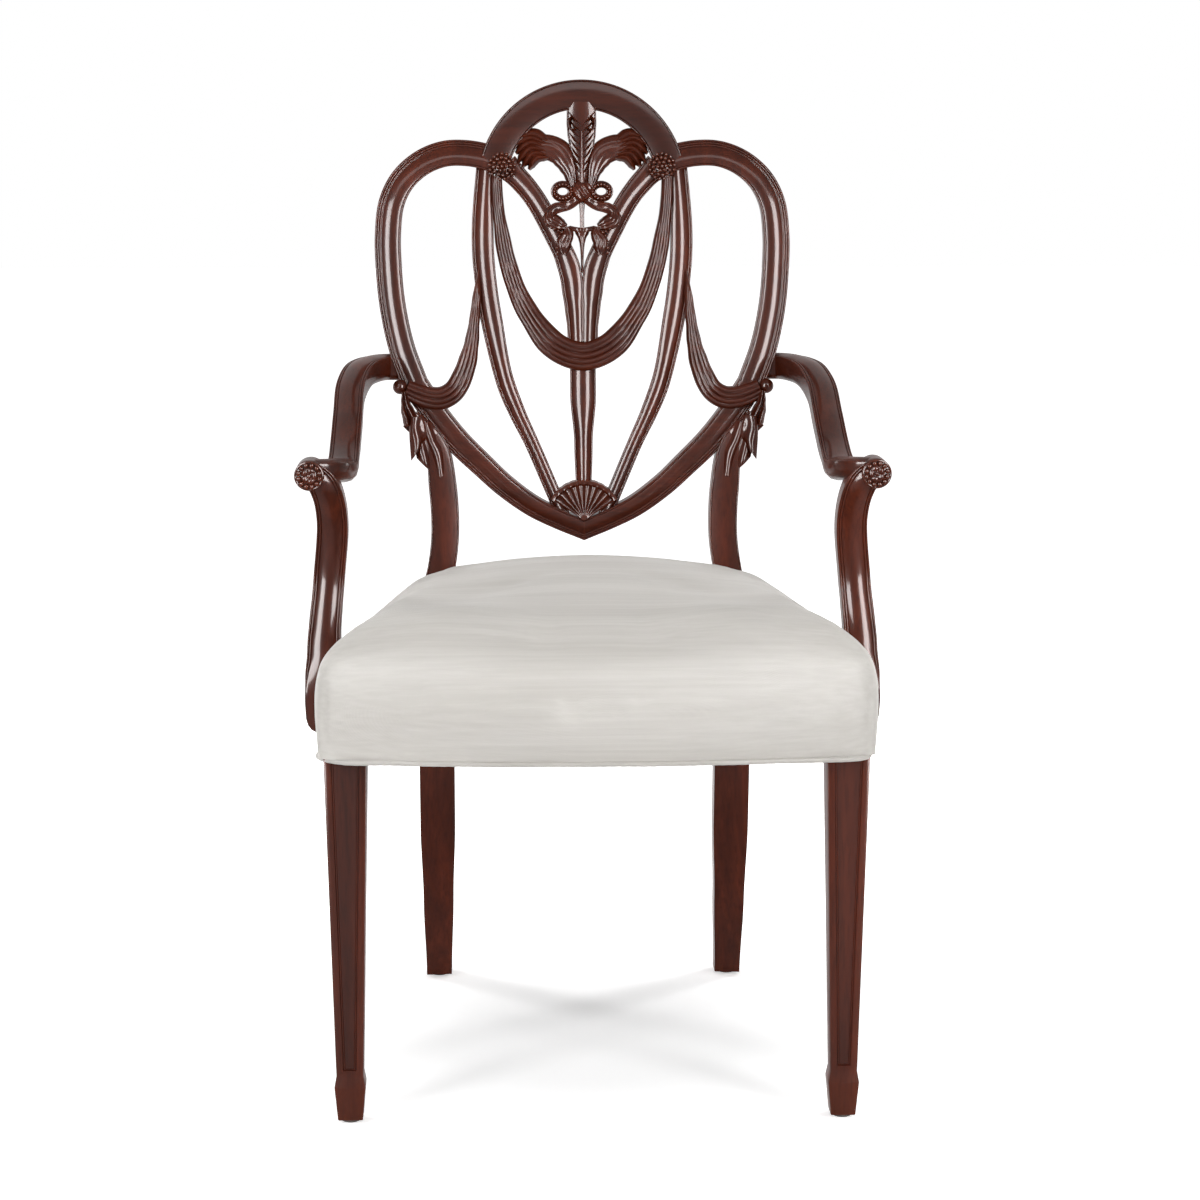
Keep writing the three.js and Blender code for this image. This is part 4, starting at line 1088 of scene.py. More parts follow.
STILE = ((0.369, 0.811), (0.456, 0.828), (0.562, 0.837), (0.668, 0.835), (0.775, 0.815), (0.866, 0.777),
         (0.919, 0.727), (0.937, 0.657), (0.934, 0.591), (0.916, 0.503), (0.873, 0.41), (0.807, 0.327))
BASE = ((0.807, 0.327), (0.716, 0.265), (0.606, 0.203), (0.486, 0.149), (0.385, 0.106), (0.251, 0.061),
        (0.126, 0.032), (0, 0.008), (-0.04, 0))
INNER_RIB = ((0.369, 0.811), (0.265, 0.759), (0.214, 0.726), (0.146, 0.668), (0.081, 0.606), (0.056, 0.566),
             (0.044, 0.505), (0.0365, 0.447), (0.0345, 0.405))
OUTER_RIB = ((0.466, 0.81), (0.477, 0.733), (0.48, 0.622), (0.463, 0.535), (0.442, 0.473), (0.38, 0.338),
             (0.32, 0.266), (0.25, 0.198), (0.145, 0.086))
TRUNK = ((0, 0.409), (0, 0.25), (0, 0.09))
CENTRE_SWAG = ((0.413, 0.787), (0.408, 0.733), (0.394, 0.677), (0.366, 0.605), (0.309, 0.525), (0.244, 0.471),
               (0.157, 0.42), (0.083, 0.398), (0, 0.389))
SIDE_SWAG = ((0.496, 0.6), (0.509, 0.535), (0.522, 0.473), (0.542, 0.407), (0.576, 0.353), (0.622, 0.315),
             (0.677, 0.3), (0.735, 0.3), (0.797, 0.309), (0.85, 0.32))
PLUME = ((0.042, 0.765), (0.064, 0.806), (0.105, 0.837), (0.16, 0.849), (0.215, 0.849), (0.25, 0.845))
PLUME_BARBS = (
    ((0.165, 0.864), (0.235, 0.879), (0.292, 0.873)), ((0.17, 0.858), (0.25, 0.871), (0.313, 0.856)),
    ((0.175, 0.85), (0.255, 0.86), (0.319, 0.836)), ((0.175, 0.842), (0.248, 0.848), (0.309, 0.817)),
    ((0.17, 0.834), (0.238, 0.836), (0.286, 0.806)), ((0.16, 0.827), (0.216, 0.827), (0.255, 0.8)),
)
RIBBON = ((0.018, 0.735), (0.073, 0.72), (0.126, 0.715), (0.156, 0.706), (0.154, 0.692), (0.12, 0.682),
          (0.076, 0.674), (0.07, 0.659), (0.088, 0.641), (0.088, 0.612))
FEATHER_CURL = ((0.018, 0.893), (0.05, 0.889), (0.062, 0.905), (0.05, 0.916), (0.038, 0.908))
UPPER_TAIL = ((0.862, 0.316), (0.85, 0.28), (0.826, 0.25))
LOWER_TAIL = ((0.768, 0.246), (0.738, 0.192), (0.717, 0.146))
TAIL_FOLD = ((0.8, 0.262), (0.797, 0.222), (0.792, 0.188))


@dataclass
class ShieldFrame:
    """The outer frame of the back: two stiles, two base rails and the crest arch."""

    carver: FlatCarver
    shop: Workshop
    thickness: float = 24 * MM
    band: float = 28 * MM
    tip: float = 21 * MM
    arch_radius: float = 98 * MM
    arch_band: float = 32 * MM
    arch_centre: float = 0.766
    arch_start: float = math.radians(14)
    moulding: Moulding = Moulding(bead=1.2 * MM, drop=4.4 * MM, peak=-0.5, reeds=(1, 3))
    arch_moulding: Moulding = Moulding(bead=1.2 * MM, drop=1.2 * MM)

    def build(self) -> None:
        """Makes the five pieces."""
        half = self.thickness / 2
        bar, line = self.carver.bar, self.carver.line
        for word, side in SIDES:
            moulding = self.moulding if side > 0 else self.moulding.turned()
            name = f"shield_stile_{word}"
            stile = bar(name, line(STILE, side), moulding, (self.band,) * 2, -half, half, span=(0.0, 1.01))
            self.shop.carved(stile, name)
            name = f"shield_base_{word}"
            rail = bar(name, line(BASE, side), moulding, (self.band, self.tip), -half, half,
                       span=(-0.02, 1.0))
            self.shop.carved(cut(rail, Vector(), Vector((-side, 0, 0))), name, Grain.LEVEL)
        arch = bar("crest_arch", self.arch_line(), self.arch_moulding, (self.arch_band,) * 2, -half, half)
        # the arch takes the darker copy of the wood, painted shade
        self.shop.hand_over(arch, "mahogany_crest", "mahogany", "crest_arch")

    def arch_line(self) -> Line:
        """The arch's centre line.

        Returns:
            The line, from right to left.
        """
        _, _, height = self.carver.point((0, self.arch_centre))
        reach = self.arch_radius
        angles = np.linspace(self.arch_start, math.pi - self.arch_start, 25)
        return Line(tuple((reach * math.cos(a), 0.0, height + reach * math.sin(a)) for a in angles))


@dataclass
class Splat:
    """The ribs of the back, the trunk between them, and the swags that hang over them."""

    carver: FlatCarver
    shop: Workshop
    thickness: float = 18 * MM
    inner_widths: tuple[float, ...] = mm(28, 24, 23, 23, 23, 23, 25, 23.5, 20, 17.3, 16.8)
    outer_widths: tuple[float, ...] = mm(20, 24, 24, 20, 15.5, 15.5)
    trunk_widths: tuple[float, ...] = mm(28, 28, 20, 17)
    moulding: Moulding = Moulding(bead=1.05 * MM, drop=4.4 * MM, peak=-0.35, reeds=(1, 2))
    trunk_moulding: Moulding = Moulding(bead=1.05 * MM, drop=4.0 * MM)
    swag_front: float = -15 * MM
    swag_back: float = -1 * MM
    centre_widths: tuple[float, ...] = mm(12, 13, 18, 20, 24, 30, 31, 30, 24, 20, 18, 13, 12)
    centre_lift: tuple[float, ...] = mm(1, 0, 2, 0, 1)
    centre_folds: Flutes = Flutes(folds=5, deep=2.7 * MM, turns=2.5)
    side_widths: tuple[float, ...] = mm(2, 6, 10, 12, 16, 21, 23.5, 24.5, 24, 21)
    side_lift: tuple[float, ...] = mm(-9, -2, 0, 1, 2, 2, 2)
    side_folds: Flutes = Flutes(folds=4, deep=2.5 * MM, turns=1.2)

    def build(self) -> None:
        """Makes the ribs, the trunk and the swags."""
        half = self.thickness / 2
        bar, line = self.carver.bar, self.carver.line
        for word, side in SIDES:
            moulding = self.moulding if side > 0 else self.moulding.turned()
            name = f"inner_rib_{word}"
            rib = bar(name, line(INNER_RIB, side), moulding, self.inner_widths, -half, half)
            self.shop.carved(cut(rib, Vector(), Vector((-side, 0, 0))), name)
            name = f"outer_rib_{word}"
            rib = bar(name, line(OUTER_RIB, side), moulding, self.outer_widths, -half, half, span=(0.0, 1.07))
            self.shop.carved(rib, name)
            self.swag(f"side_swag_{word}", line(SIDE_SWAG, side), self.side_folds, self.side_widths,
                      self.side_lift)
        trunk = bar("splat_trunk", line(TRUNK), self.trunk_moulding, self.trunk_widths, -half, half)
        self.shop.carved(trunk, "splat_trunk")
        mirrored = tuple((-u, v) for u, v in reversed(CENTRE_SWAG[:-1]))
        whole = line(CENTRE_SWAG + mirrored)
        self.swag("centre_swag", whole, self.centre_folds, self.centre_widths, self.centre_lift)

    def swag(self, name: str, line: Line, folds: Flutes, widths: Sequence[float],
             lift: Sequence[float]) -> None:
        """Hangs one swag of cloth.

        Args:
            name: the node that it stands for.
            line: its centre line.
            folds: its cross-section.
            widths: evenly spaced widths.
            lift: evenly spaced amounts by which it stands further forward.
        """
        swag = self.carver.bar(name, line, folds, widths, self.swag_front, self.swag_back, lift=lift)
        self.shop.carved(swag, name, Grain.LEVEL)


@dataclass
class CrestCarving:
    """Three feathers, the ribbon bow that ties them and the husk that hangs from it."""

    carver: FlatCarver
    shop: Workshop
    front: float = -13 * MM
    back: float = 0.0
    barb_taper: tuple[float, ...] = (0.5, 0.85, 1.0, 0.95, 0.75, 0.3)
    barb_lift: tuple[float, ...] = mm(0, 0.8, 0.9, -1)
    plume_widths: tuple[float, ...] = mm(10, 15, 21, 26, 28, 28, 27, 22)
    plume_lift: tuple[float, ...] = mm(0, 1, 1, -1)
    plume_barb: float = 13.5 * MM
    feather_top: float = 0.95
    feather_foot: float = 0.762
    feather_widths: tuple[float, ...] = mm(31, 32, 32.5, 31, 28, 25, 20, 14, 11)
    feather_barb: float = 4.6 * MM
    feather_barbs: int = 8
    first_barb: float = 0.79
    barb_pitch: float = 0.0155
    curl_width: float = 4.8 * MM
    quill_widths: tuple[float, ...] = mm(5.4, 4.6, 3.4)
    knot_share: float = 0.754
    knot_radius: float = 12.6 * MM
    loop_offset: float = 21 * MM
    loop_radius: tuple[float, ...] = mm(9.4, 7.8)
    loop_width: float = 7.6 * MM
    loop_pearl: float = 1.9 * MM
    ribbon_pearl: float = 1.7 * MM
    ribbon_back: float = -1 * MM
    ribbon_lift: tuple[float, ...] = mm(-1, 1.5, 1.5, -2)
    husk_depths: tuple[float, ...] = mm(-8, 3)
    stem_widths: tuple[float, ...] = mm(6.5, 4.6, 4.4)
    spear_widths: tuple[float, ...] = mm(24, 15, 8.5, 5.5, 4.2, 3.4, 3, 2.6, 2.4)
    cross_width: float = 5 * MM
    cross_places: Shares = ((-13.5, 1.4), (-8, 0.2), (0, -0.8), (8, 0.2), (13.5, 1.4))

    def build(self) -> None:
        """Makes the carvings under the arch."""
        for word, side in SIDES:
            self.plume(f"plume_{word}", side)
        self.centre_feather()
        self.bow()
        self.husk()

    def barb(self, shares: Shares, side: int, width: float, front: float) -> Piece:
        """One barb of a feather, thick in its middle and pointed.

        Args:
            shares: its middle line, on the right side.
            side: -1 on the left, 1 on the right.
            width: its greatest width.
            front: depth of its front.

        Returns:
            The mesh object.
        """
        widths = tuple(share * width for share in self.barb_taper)
        line = self.carver.line(shares, side)
        return self.carver.bar("barb", line, Blade(), widths, front, self.back, lift=self.barb_lift)

    def plume(self, name: str, side: int) -> None:
        """A side plume that bows outwards and ends in drooping barbs.

        Args:
            name: the node that it stands for.
            side: -1 on the left, 1 on the right.
        """
        folds = Flutes(folds=3, deep=0.7 * MM, sway=0.1)
        parts = [self.carver.bar("body", self.carver.line(PLUME, side), folds, self.plume_widths,
                                 self.front, self.back, lift=self.plume_lift)]
        for k, shares in enumerate(PLUME_BARBS):
            front = self.front - (0.3 + 0.2 * k) * MM
            parts.append(self.barb(shares, side, self.plume_barb - 0.3 * k * MM, front))
        self.shop.carved(joined(name, parts), name, Grain.LEVEL)

    def centre_feather(self) -> None:
        """The upright feather: a tapering leaf with a quill, slanting barbs and two curls at its top."""
        line, bar = self.carver.line, self.carver.bar
        top, foot = self.feather_top, self.feather_foot
        leaf = Moulding(bead=0.9 * MM, drop=2.0 * MM)
        middle = line(((0, top), (0, 0.86), (0, foot)))
        parts = [bar("body", middle, leaf, self.feather_widths, self.front + 0.6 * MM, self.back)]
        for step in range(self.feather_barbs):
            root = self.first_barb + self.barb_pitch * step
            place = np.array([(top - root - 0.02) / (top - foot)])
            reach = 0.44 * float(smoothed(self.feather_widths, place)[0]) / self.carver.lean.half_width
            shares = ((0.004, root), (reach * 0.55, root + 0.013), (reach, root + 0.03))
            parts += [self.barb(shares, side, self.feather_barb, self.front - 1.3 * MM) for _, side in SIDES]
        parts += [self.barb(FEATHER_CURL, side, self.curl_width, self.front - 3.4 * MM) for _, side in SIDES]
        quill = line(((0, 0.77), (0, 0.83), (0, 0.885)))
        parts.append(bar("quill", quill, Blade(keel=0.07), self.quill_widths, self.front - 2.4 * MM,
                         self.back))
        self.shop.carved(joined("centre_feather", parts), "centre_feather")

    def bow(self) -> None:
        """A knot with two loops and two tails that lie down over the ribs."""
        centre = self.carver.point((0, self.knot_share))
        parts = [self.carver.boss("knot", centre, self.knot_radius, self.knot_face, np.ones_like,
                                  self.ribbon_back, spokes=48, rings=16)]
        for _, side in SIDES:
            parts += self.ring(side) + self.ribbon(side)
        self.shop.carved(joined("ribbon_bow", parts), "ribbon_bow", Grain.LEVEL)

    def ribbon(self, side: int) -> list[Piece]:
        """The ribbon from the knot to the rib, its fold back, and its end that lies down the rib.

        Args:
            side: -1 on the left, 1 on the right.

        Returns:
            Its parts and the pearls on them.
        """
        parts = []
        for shares, widths, front, section in (
            (RIBBON[:4], mm(9, 10, 10, 12, 11), -13.5 * MM, Ribbon(ripples=1.5)),
            (RIBBON[3:7], mm(11, 16, 17, 16, 13, 6), -15 * MM, Flutes(folds=3, deep=1.6 * MM)),
            (RIBBON[6:], mm(8, 13, 16, 17, 15, 7), -14 * MM, Flutes(folds=3, deep=1.6 * MM, sway=0.15)),
        ):
            line = self.carver.line(shares, side)
            parts.append(self.carver.bar("tail", line, section, widths, front, self.ribbon_back,
                                         lift=self.ribbon_lift))
            middle, tangent = line.at(np.linspace(0.3, 0.9, 5))
            flat = middle + widths[len(widths) // 2] * 0.44 * side * sideways(tangent)
            parts += self.pearls(flat, front + 3 * MM, self.ribbon_pearl)
        return parts

    def pearls(self, flat: Array, depth: float, radius: float) -> list[Piece]:
        """A row of beads.

        Args:
            flat: their middles in the flat drawing.
            depth: the depth of all of them.
            radius: their radius.

        Returns:
            The beads.
        """
        flat[:, 1] = depth
        return [ball("pearl", place, radius, 10, 8) for place in self.carver.lean.placed(flat)]

    def ring(self, side: int) -> list[Piece]:
        """One loop of the bow: a ribbon that runs round an oval.

        Args:
            side: -1 on the left, 1 on the right.

        Returns:
            The loop, and the row of pearls on it.
        """
        wide, tall = self.loop_radius
        middle = side * self.loop_offset
        height = self.carver.point((0, self.knot_share))[2] - 1 * MM
        turns = np.linspace(0, 2 * math.pi, 33)[:-1]
        points = tuple((middle + wide * math.cos(a), 0.0, height + tall * math.sin(a)) for a in turns)
        line = Line((*points, points[0]))
        loop = self.carver.bar("loop", line, Ribbon(hem=0.7 * MM), (self.loop_width,) * 2,
                               self.front + 1 * MM, self.ribbon_back, loop=True)
        return [loop, *self.pearls(np.array(points[::2]), self.front + 0.4 * MM, self.loop_pearl)]

    def knot_face(self, share: Array, angle: Array) -> Array:
        """The knot's front, a dome with slanting creases.

        Args:
            share: shares of its radius.
            angle: angles round it.

        Returns:
            Its depth there.
        """
        dome = np.sqrt(np.maximum(1 - share**2, 0))
        crease = np.sin(13 * share * np.cos(angle - 0.6)) * dome**0.5
        return self.front + (5 - 9.5 * dome + 0.9 * crease) * MM

    def husk(self) -> None:
        """A stem with a cross-bar, and a spear-shaped husk below it."""
        line, bar = self.carver.line, self.carver.bar
        plain = Ribbon(hem=0.5 * MM)
        _, _, height = self.carver.point((0, 0.668))
        cross = Line(tuple((x * MM, 0.0, height + z * MM) for x, z in self.cross_places))
        parts = [
            bar("stem", line(((0, 0.73), (0, 0.7), (0, 0.664))), plain, self.stem_widths, *self.husk_depths),
            bar("spear", line(((0, 0.672), (0, 0.62), (0, 0.572))), Flutes(folds=2, deep=0.6 * MM),
                self.spear_widths, *self.husk_depths),
            bar("cross_bar", cross, plain, (self.cross_width,) * 2, *self.husk_depths),
        ]
        self.shop.carved(joined("husk_drop", parts), "husk_drop")


@dataclass
class Ornaments:
    """The fan, the berry clusters, the buttons and the drapery tails."""

    carver: FlatCarver
    shop: Workshop
    frame_front: float = -12 * MM
    fan_radius: float = 43 * MM
    fan_opening: float = math.radians(33)
    fan_flutes: int = 10
    fan_front: float = -14 * MM
    flute_depth: float = 2.3 * MM
    fan_dish: float = 1.5 * MM
    rim_height: float = 0.9 * MM
    apex_height: float = 1.6 * MM
    berry_centre: tuple[float, float] = (0.386, 0.808)
    berry_radius: float = 14 * MM
    berry_rings: tuple[tuple[float, int, float, float], ...] = (
        (0.0, 1, 2.5 * MM, 1.35), (0.34, 6, 2.4 * MM, 1.2), (0.67, 12, 2.3 * MM, 0.95),
        (0.97, 17, 2.1 * MM, 0.55))
    berry_rise: float = 4.4 * MM
    button_centre: tuple[float, float] = (0.88, 0.325)
    button_radius: float = 8 * MM
    upper_widths: tuple[float, ...] = mm(5, 9, 14, 18)
    lower_widths: tuple[float, ...] = mm(17, 25, 33, 33)
    fold_widths: tuple[float, ...] = mm(15, 18, 18)
    tail_back: float = -3.5 * MM
    pleat_depth: float = 6 * MM

    def build(self) -> None:
        """Makes all of them."""
        self.fan()
        for word, side in SIDES:
            self.berries(f"berry_cluster_{word}", side)
            name = f"swag_button_{word}"
            x, _, z = self.carver.point(self.button_centre, side)
            middle = self.carver.spot(x, self.frame_front + self.button_radius / 2, z)
            self.shop.carved(ball(name, middle, self.button_radius, 32, 20), name, Grain.LEVEL)
            self.tail(f"drapery_tail_{word}", side)

    def fan(self) -> None:
        """A fan of hollow flutes with a beaded apex and a scalloped rim."""
        span = math.pi - 2 * self.fan_opening

        def flute(angle: Array) -> Array:
            """Where an angle is within its flute, from 0 to 1."""
            place = (angle - self.fan_opening) / span * self.fan_flutes
            return place - np.floor(np.clip(place, 0, self.fan_flutes - 1e-6))

        def face(share: Array, angle: Array) -> Array:
            """The fan's front.

            Args:
                share: shares of its radius.
                angle: angles round its apex.

            Returns:
                Its depth there.
            """
            hollow = np.sin(math.pi * flute(angle)) ** 0.6 * np.clip((share - 0.16) * 5, 0, 1)
            rim = np.clip((share - 0.86) / 0.06, 0, 1)
            apex = np.clip(1 - share / 0.17, 0, 1) ** 0.5
            depth = self.fan_front + self.flute_depth * hollow * (1 - rim) + self.fan_dish * (1 - share)
            return depth - self.rim_height * rim - self.apex_height * apex

        def edge(angle: Array) -> Array:
            """The fan's outline, as shares of its radius."""
            return 0.985 + 0.015 * np.sin(math.pi * flute(angle)) ** 0.5

        apex = self.carver.point((0, 0.03))
        fan = self.carver.boss("fan_carving", apex, self.fan_radius, face, edge, 2 * MM, spokes=121,
                               rings=22, turn=(self.fan_opening, math.pi - self.fan_opening))
        self.shop.carved(fan, "fan_carving", angle=30)

    def berries(self, name: str, side: int) -> None:
        """A domed cluster of berries where swag, rib and frame meet.

        Args:
            name: the node that it stands for.
            side: -1 on the left, 1 on the right.
        """
        cx, _, cz = self.carver.point(self.berry_centre, side)
        parts = [self.carver.boss("bed", (cx, 0.0, cz), self.berry_radius * 0.86,
                                  lambda s, a: self.frame_front - 3.5 * MM * (1 - s**2), np.ones_like,
                                  -4 * MM, 32, 6)]
        for ring, count, radius, rise in self.berry_rings:
            reach = ring * self.berry_radius
            depth = self.frame_front - self.berry_rise * rise
            for turn in 2 * math.pi * (np.arange(count) + 0.25 * ring) / count:
                middle = self.carver.spot(cx + reach * math.cos(turn), depth, cz + reach * math.sin(turn))
                parts.append(ball("berry", middle, radius))
        self.shop.carved(joined(name, parts), name, Grain.LEVEL)

    def tail(self, name: str, side: int) -> None:
        """Two tiers of folds that fall from the button over the frame and the post, and a fold between.

        Args:
            name: the node that it stands for.
            side: -1 on the left, 1 on the right.
        """
        hem = (-0.3, -0.02, 0.2, 0.18, -0.2)
        parts = [
            self.tier(UPPER_TAIL, side, self.upper_widths, -21.5 * MM, 2, lambda u: 0.1 * (1 - u * u)),
            self.tier(LOWER_TAIL, side, self.lower_widths, -17.5 * MM, 2,
                      lambda u: np.interp(u, (-1, -0.4, 0.1, 0.45, 1), hem)),
            self.tier(TAIL_FOLD, side, self.fold_widths, -22 * MM, 1, lambda u: -0.3 * u),
        ]
        self.shop.carved(joined(name, parts), name)

    def tier(self, shares: Shares, side: int, widths: Sequence[float], front: float, pleats: int,
             hem: Callable[[Array], Array]) -> Piece:
        """Pleated cloth that widens towards an uneven hem.

        Args:
            shares: places of its middle, from the top.
            side: -1 on the left, 1 on the right.
            widths: evenly spaced widths.
            front: depth of its front.
            pleats: how many pleats lie side by side.
            hem: extra length, as a share, from -1 at the outer side to 1 at the inner one.

        Returns:
            The mesh object.
        """
        line = self.carver.line(shares, side)
        own = np.linspace(0, 1, 25)
        middle, tangent = line.at(own)
        across = sideways(tangent) * -side
        half = smoothed(widths, own) / 2
        own = own[:, None]
        u = np.linspace(-1, 1, 16 * pleats + 1)[None]
        turned = (u + 1) / 2 * pleats + 0.15 + 0.09 * np.sin(2 * math.pi * own)
        fall = 0.5 + 0.5 * np.cos(2 * math.pi * turned)
        relief = self.pleat_depth * fall**1.4 * (0.3 + 0.7 * own) * (1 - 0.5 * u**4)
        face = middle[:, None] + half[:, None, None] * u[..., None] * across[:, None]
        face += (hem(u) * own**3)[..., None] * line.length() * tangent[-1]
        behind = face[:, ::-1].copy()
        face[..., 1] += front + relief + 4 * MM * np.abs(u) ** 4 + 2 * MM * own**6
        behind[..., 1] += self.tail_back
        return wrapped("tier", self.carver.lean.placed(np.concatenate([face, behind], axis=1)))


# Legs, arms and their posts


@dataclass
class Legs:
    """The four legs and their glides."""

    carver: FlatCarver
    shop: Workshop
    rail_x: float = 162 * MM
    waist_x: float = 151 * MM
    underside: float = 365 * MM
    rear_widths: tuple[float, ...] = mm(28, 33, 38, 38, 38, 30, 30, 22)
    rear_depths: tuple[float, ...] = mm(30, 36, 36, 36, 28, 28, 28)
    front_x: float = 239 * MM
    top_width: float = 41 * MM
    ankle_width: float = 26 * MM
    spade_top: float = 30 * MM
    spade_bottom: float = 24 * MM
    spade_height: float = 34 * MM
    ankle: float = 48 * MM
    glide: float = 3 * MM
    top: float = 424 * MM
    panel_insets: tuple[tuple[float, ...], ...] = (mm(5.6, 0), mm(0.5, -1), mm(1.2, 0.5), mm(0.7, -0.9))
    edge_round: float = 1.1 * MM
    glide_radius: float = 10 * MM
    glide_round: float = 2.2 * MM

    def build(self) -> None:
        """Makes the legs and glides."""
        glide = self.first_glide()
        for word, side in SIDES:
            self.rear(f"rear_leg_{word}", side)
            self.front(f"front_leg_{word}", side)
            for end in ("front", "rear"):
                name = f"glide_{end}_{word}"
                low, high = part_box(name)
                offset = Vector(((low[0] + high[0]) / 2, (low[1] + high[1]) / 2, 0))
                self.shop.hand_over(copied(glide, name, offset), "nylon", "nylon", name)
        bpy.data.objects.remove(glide)

    def rear(self, name: str, side: int) -> None:
        """A rear leg that runs on up as the back post.

        Args:
            name: the node that it stands for.
            side: -1 on the left, 1 on the right.
        """
        base, under = self.carver.base, self.underside
        rise = base - under
        _, _, shoulder = self.carver.point((0, 0.144))
        inset, _, tip = self.carver.point((0.88, 0.255))
        waist, rail = self.waist_x, self.rail_x
        heights = (self.glide, under / 2, under, under + rise * 0.55, under + rise * 0.75, base,
                   base + 0.7 * (shoulder - base), (shoulder + tip) / 2, tip)
        places = (rail + 0.7 * MM, rail, rail, rail, rail + 0.6 * (waist - rail), waist,
                  waist + 0.2 * (rail - waist), rail, inset - 11 * MM)
        line = Line(tuple((side * x, 0.0, z) for x, z in zip(places, heights)))
        moulding = Moulding(bead=1.0 * MM, drop=0.9 * MM, strength=(0.0,) * 5 + (1.0,) * 5)
        own = np.linspace(0, 1, round(line.length() / (4 * MM)) + 1)
        half = smoothed(self.rear_depths, own) / 2
        rows = swept(moulding, own, line.at(own), smoothed(self.rear_widths, own), -half, half)
        self.shop.carved(wrapped(name, self.carver.lean.placed(rows)), name)

    def front(self, name: str, side: int) -> None:
        """A tapered leg with a sunk panel on its front and a spade foot.

        Args:
            name: the node that it stands for.
            side: -1 on the left, 1 on the right.
        """
        middle = Vector((side * self.front_x, self.carver.lean.start() + self.carver.lean.front_leg_y, 0))
        slope = (self.top_width - self.ankle_width) / (self.underside - self.ankle)
        full = self.ankle_width + slope * (self.top - self.ankle)
        leg = primitive(name, bpy.ops.mesh.primitive_cube_add, size=1)

        top, ankle = (full, full, self.top), (self.ankle_width, self.ankle_width, self.ankle)

        def tapered(v: Array) -> Array:
            """Stretches the cube's corners to the ankle and to the top."""
            corners = np.hstack([v[:, :2], np.ones_like(v[:, 2:])])
            return corners * np.where(v[:, 2:] > 0, top, ankle) + np.array(middle)

        moved(leg, tapered)
        pick(leg, Vector((0, 0, -1)))
        spade = self.glide + self.spade_height
        with edit_mode(leg):
            for width, start, height in ((self.spade_top, self.ankle_width, spade - self.ankle),
                                         (self.spade_bottom, self.spade_top, -self.spade_height)):
                bpy.ops.mesh.extrude_region_move(TRANSFORM_OT_translate={"value": (0, 0, height)})
                bpy.ops.transform.resize(value=(width / start, width / start, 1), center_override=middle)
        apply(leg, "BEVEL", width=self.edge_round, segments=2, limit_method="ANGLE",
              angle_limit=math.radians(12))
        pick(leg, Vector((0, -1, 0)), largest=True)
        with edit_mode(leg):
            for thickness, depth in self.panel_insets:
                bpy.ops.mesh.inset(thickness=thickness, depth=depth)
        self.shop.carved(leg, name, angle=25)

    def first_glide(self) -> Piece:
        """A glide under the origin: a domed pad with a flat sole.

        Returns:
            The mesh object.
        """
        glide = primitive("glide", bpy.ops.mesh.primitive_cylinder_add, vertices=40, radius=self.glide_radius,
                          depth=self.glide, location=(0, 0, self.glide / 2))
        bpy.ops.object.transform_apply(location=True, rotation=False, scale=False)
        pick(glide, Vector((0, 0, -1)))
        with edit_mode(glide):
            bpy.ops.mesh.bevel(offset=self.glide_round, segments=5, affect="EDGES")
        return glide


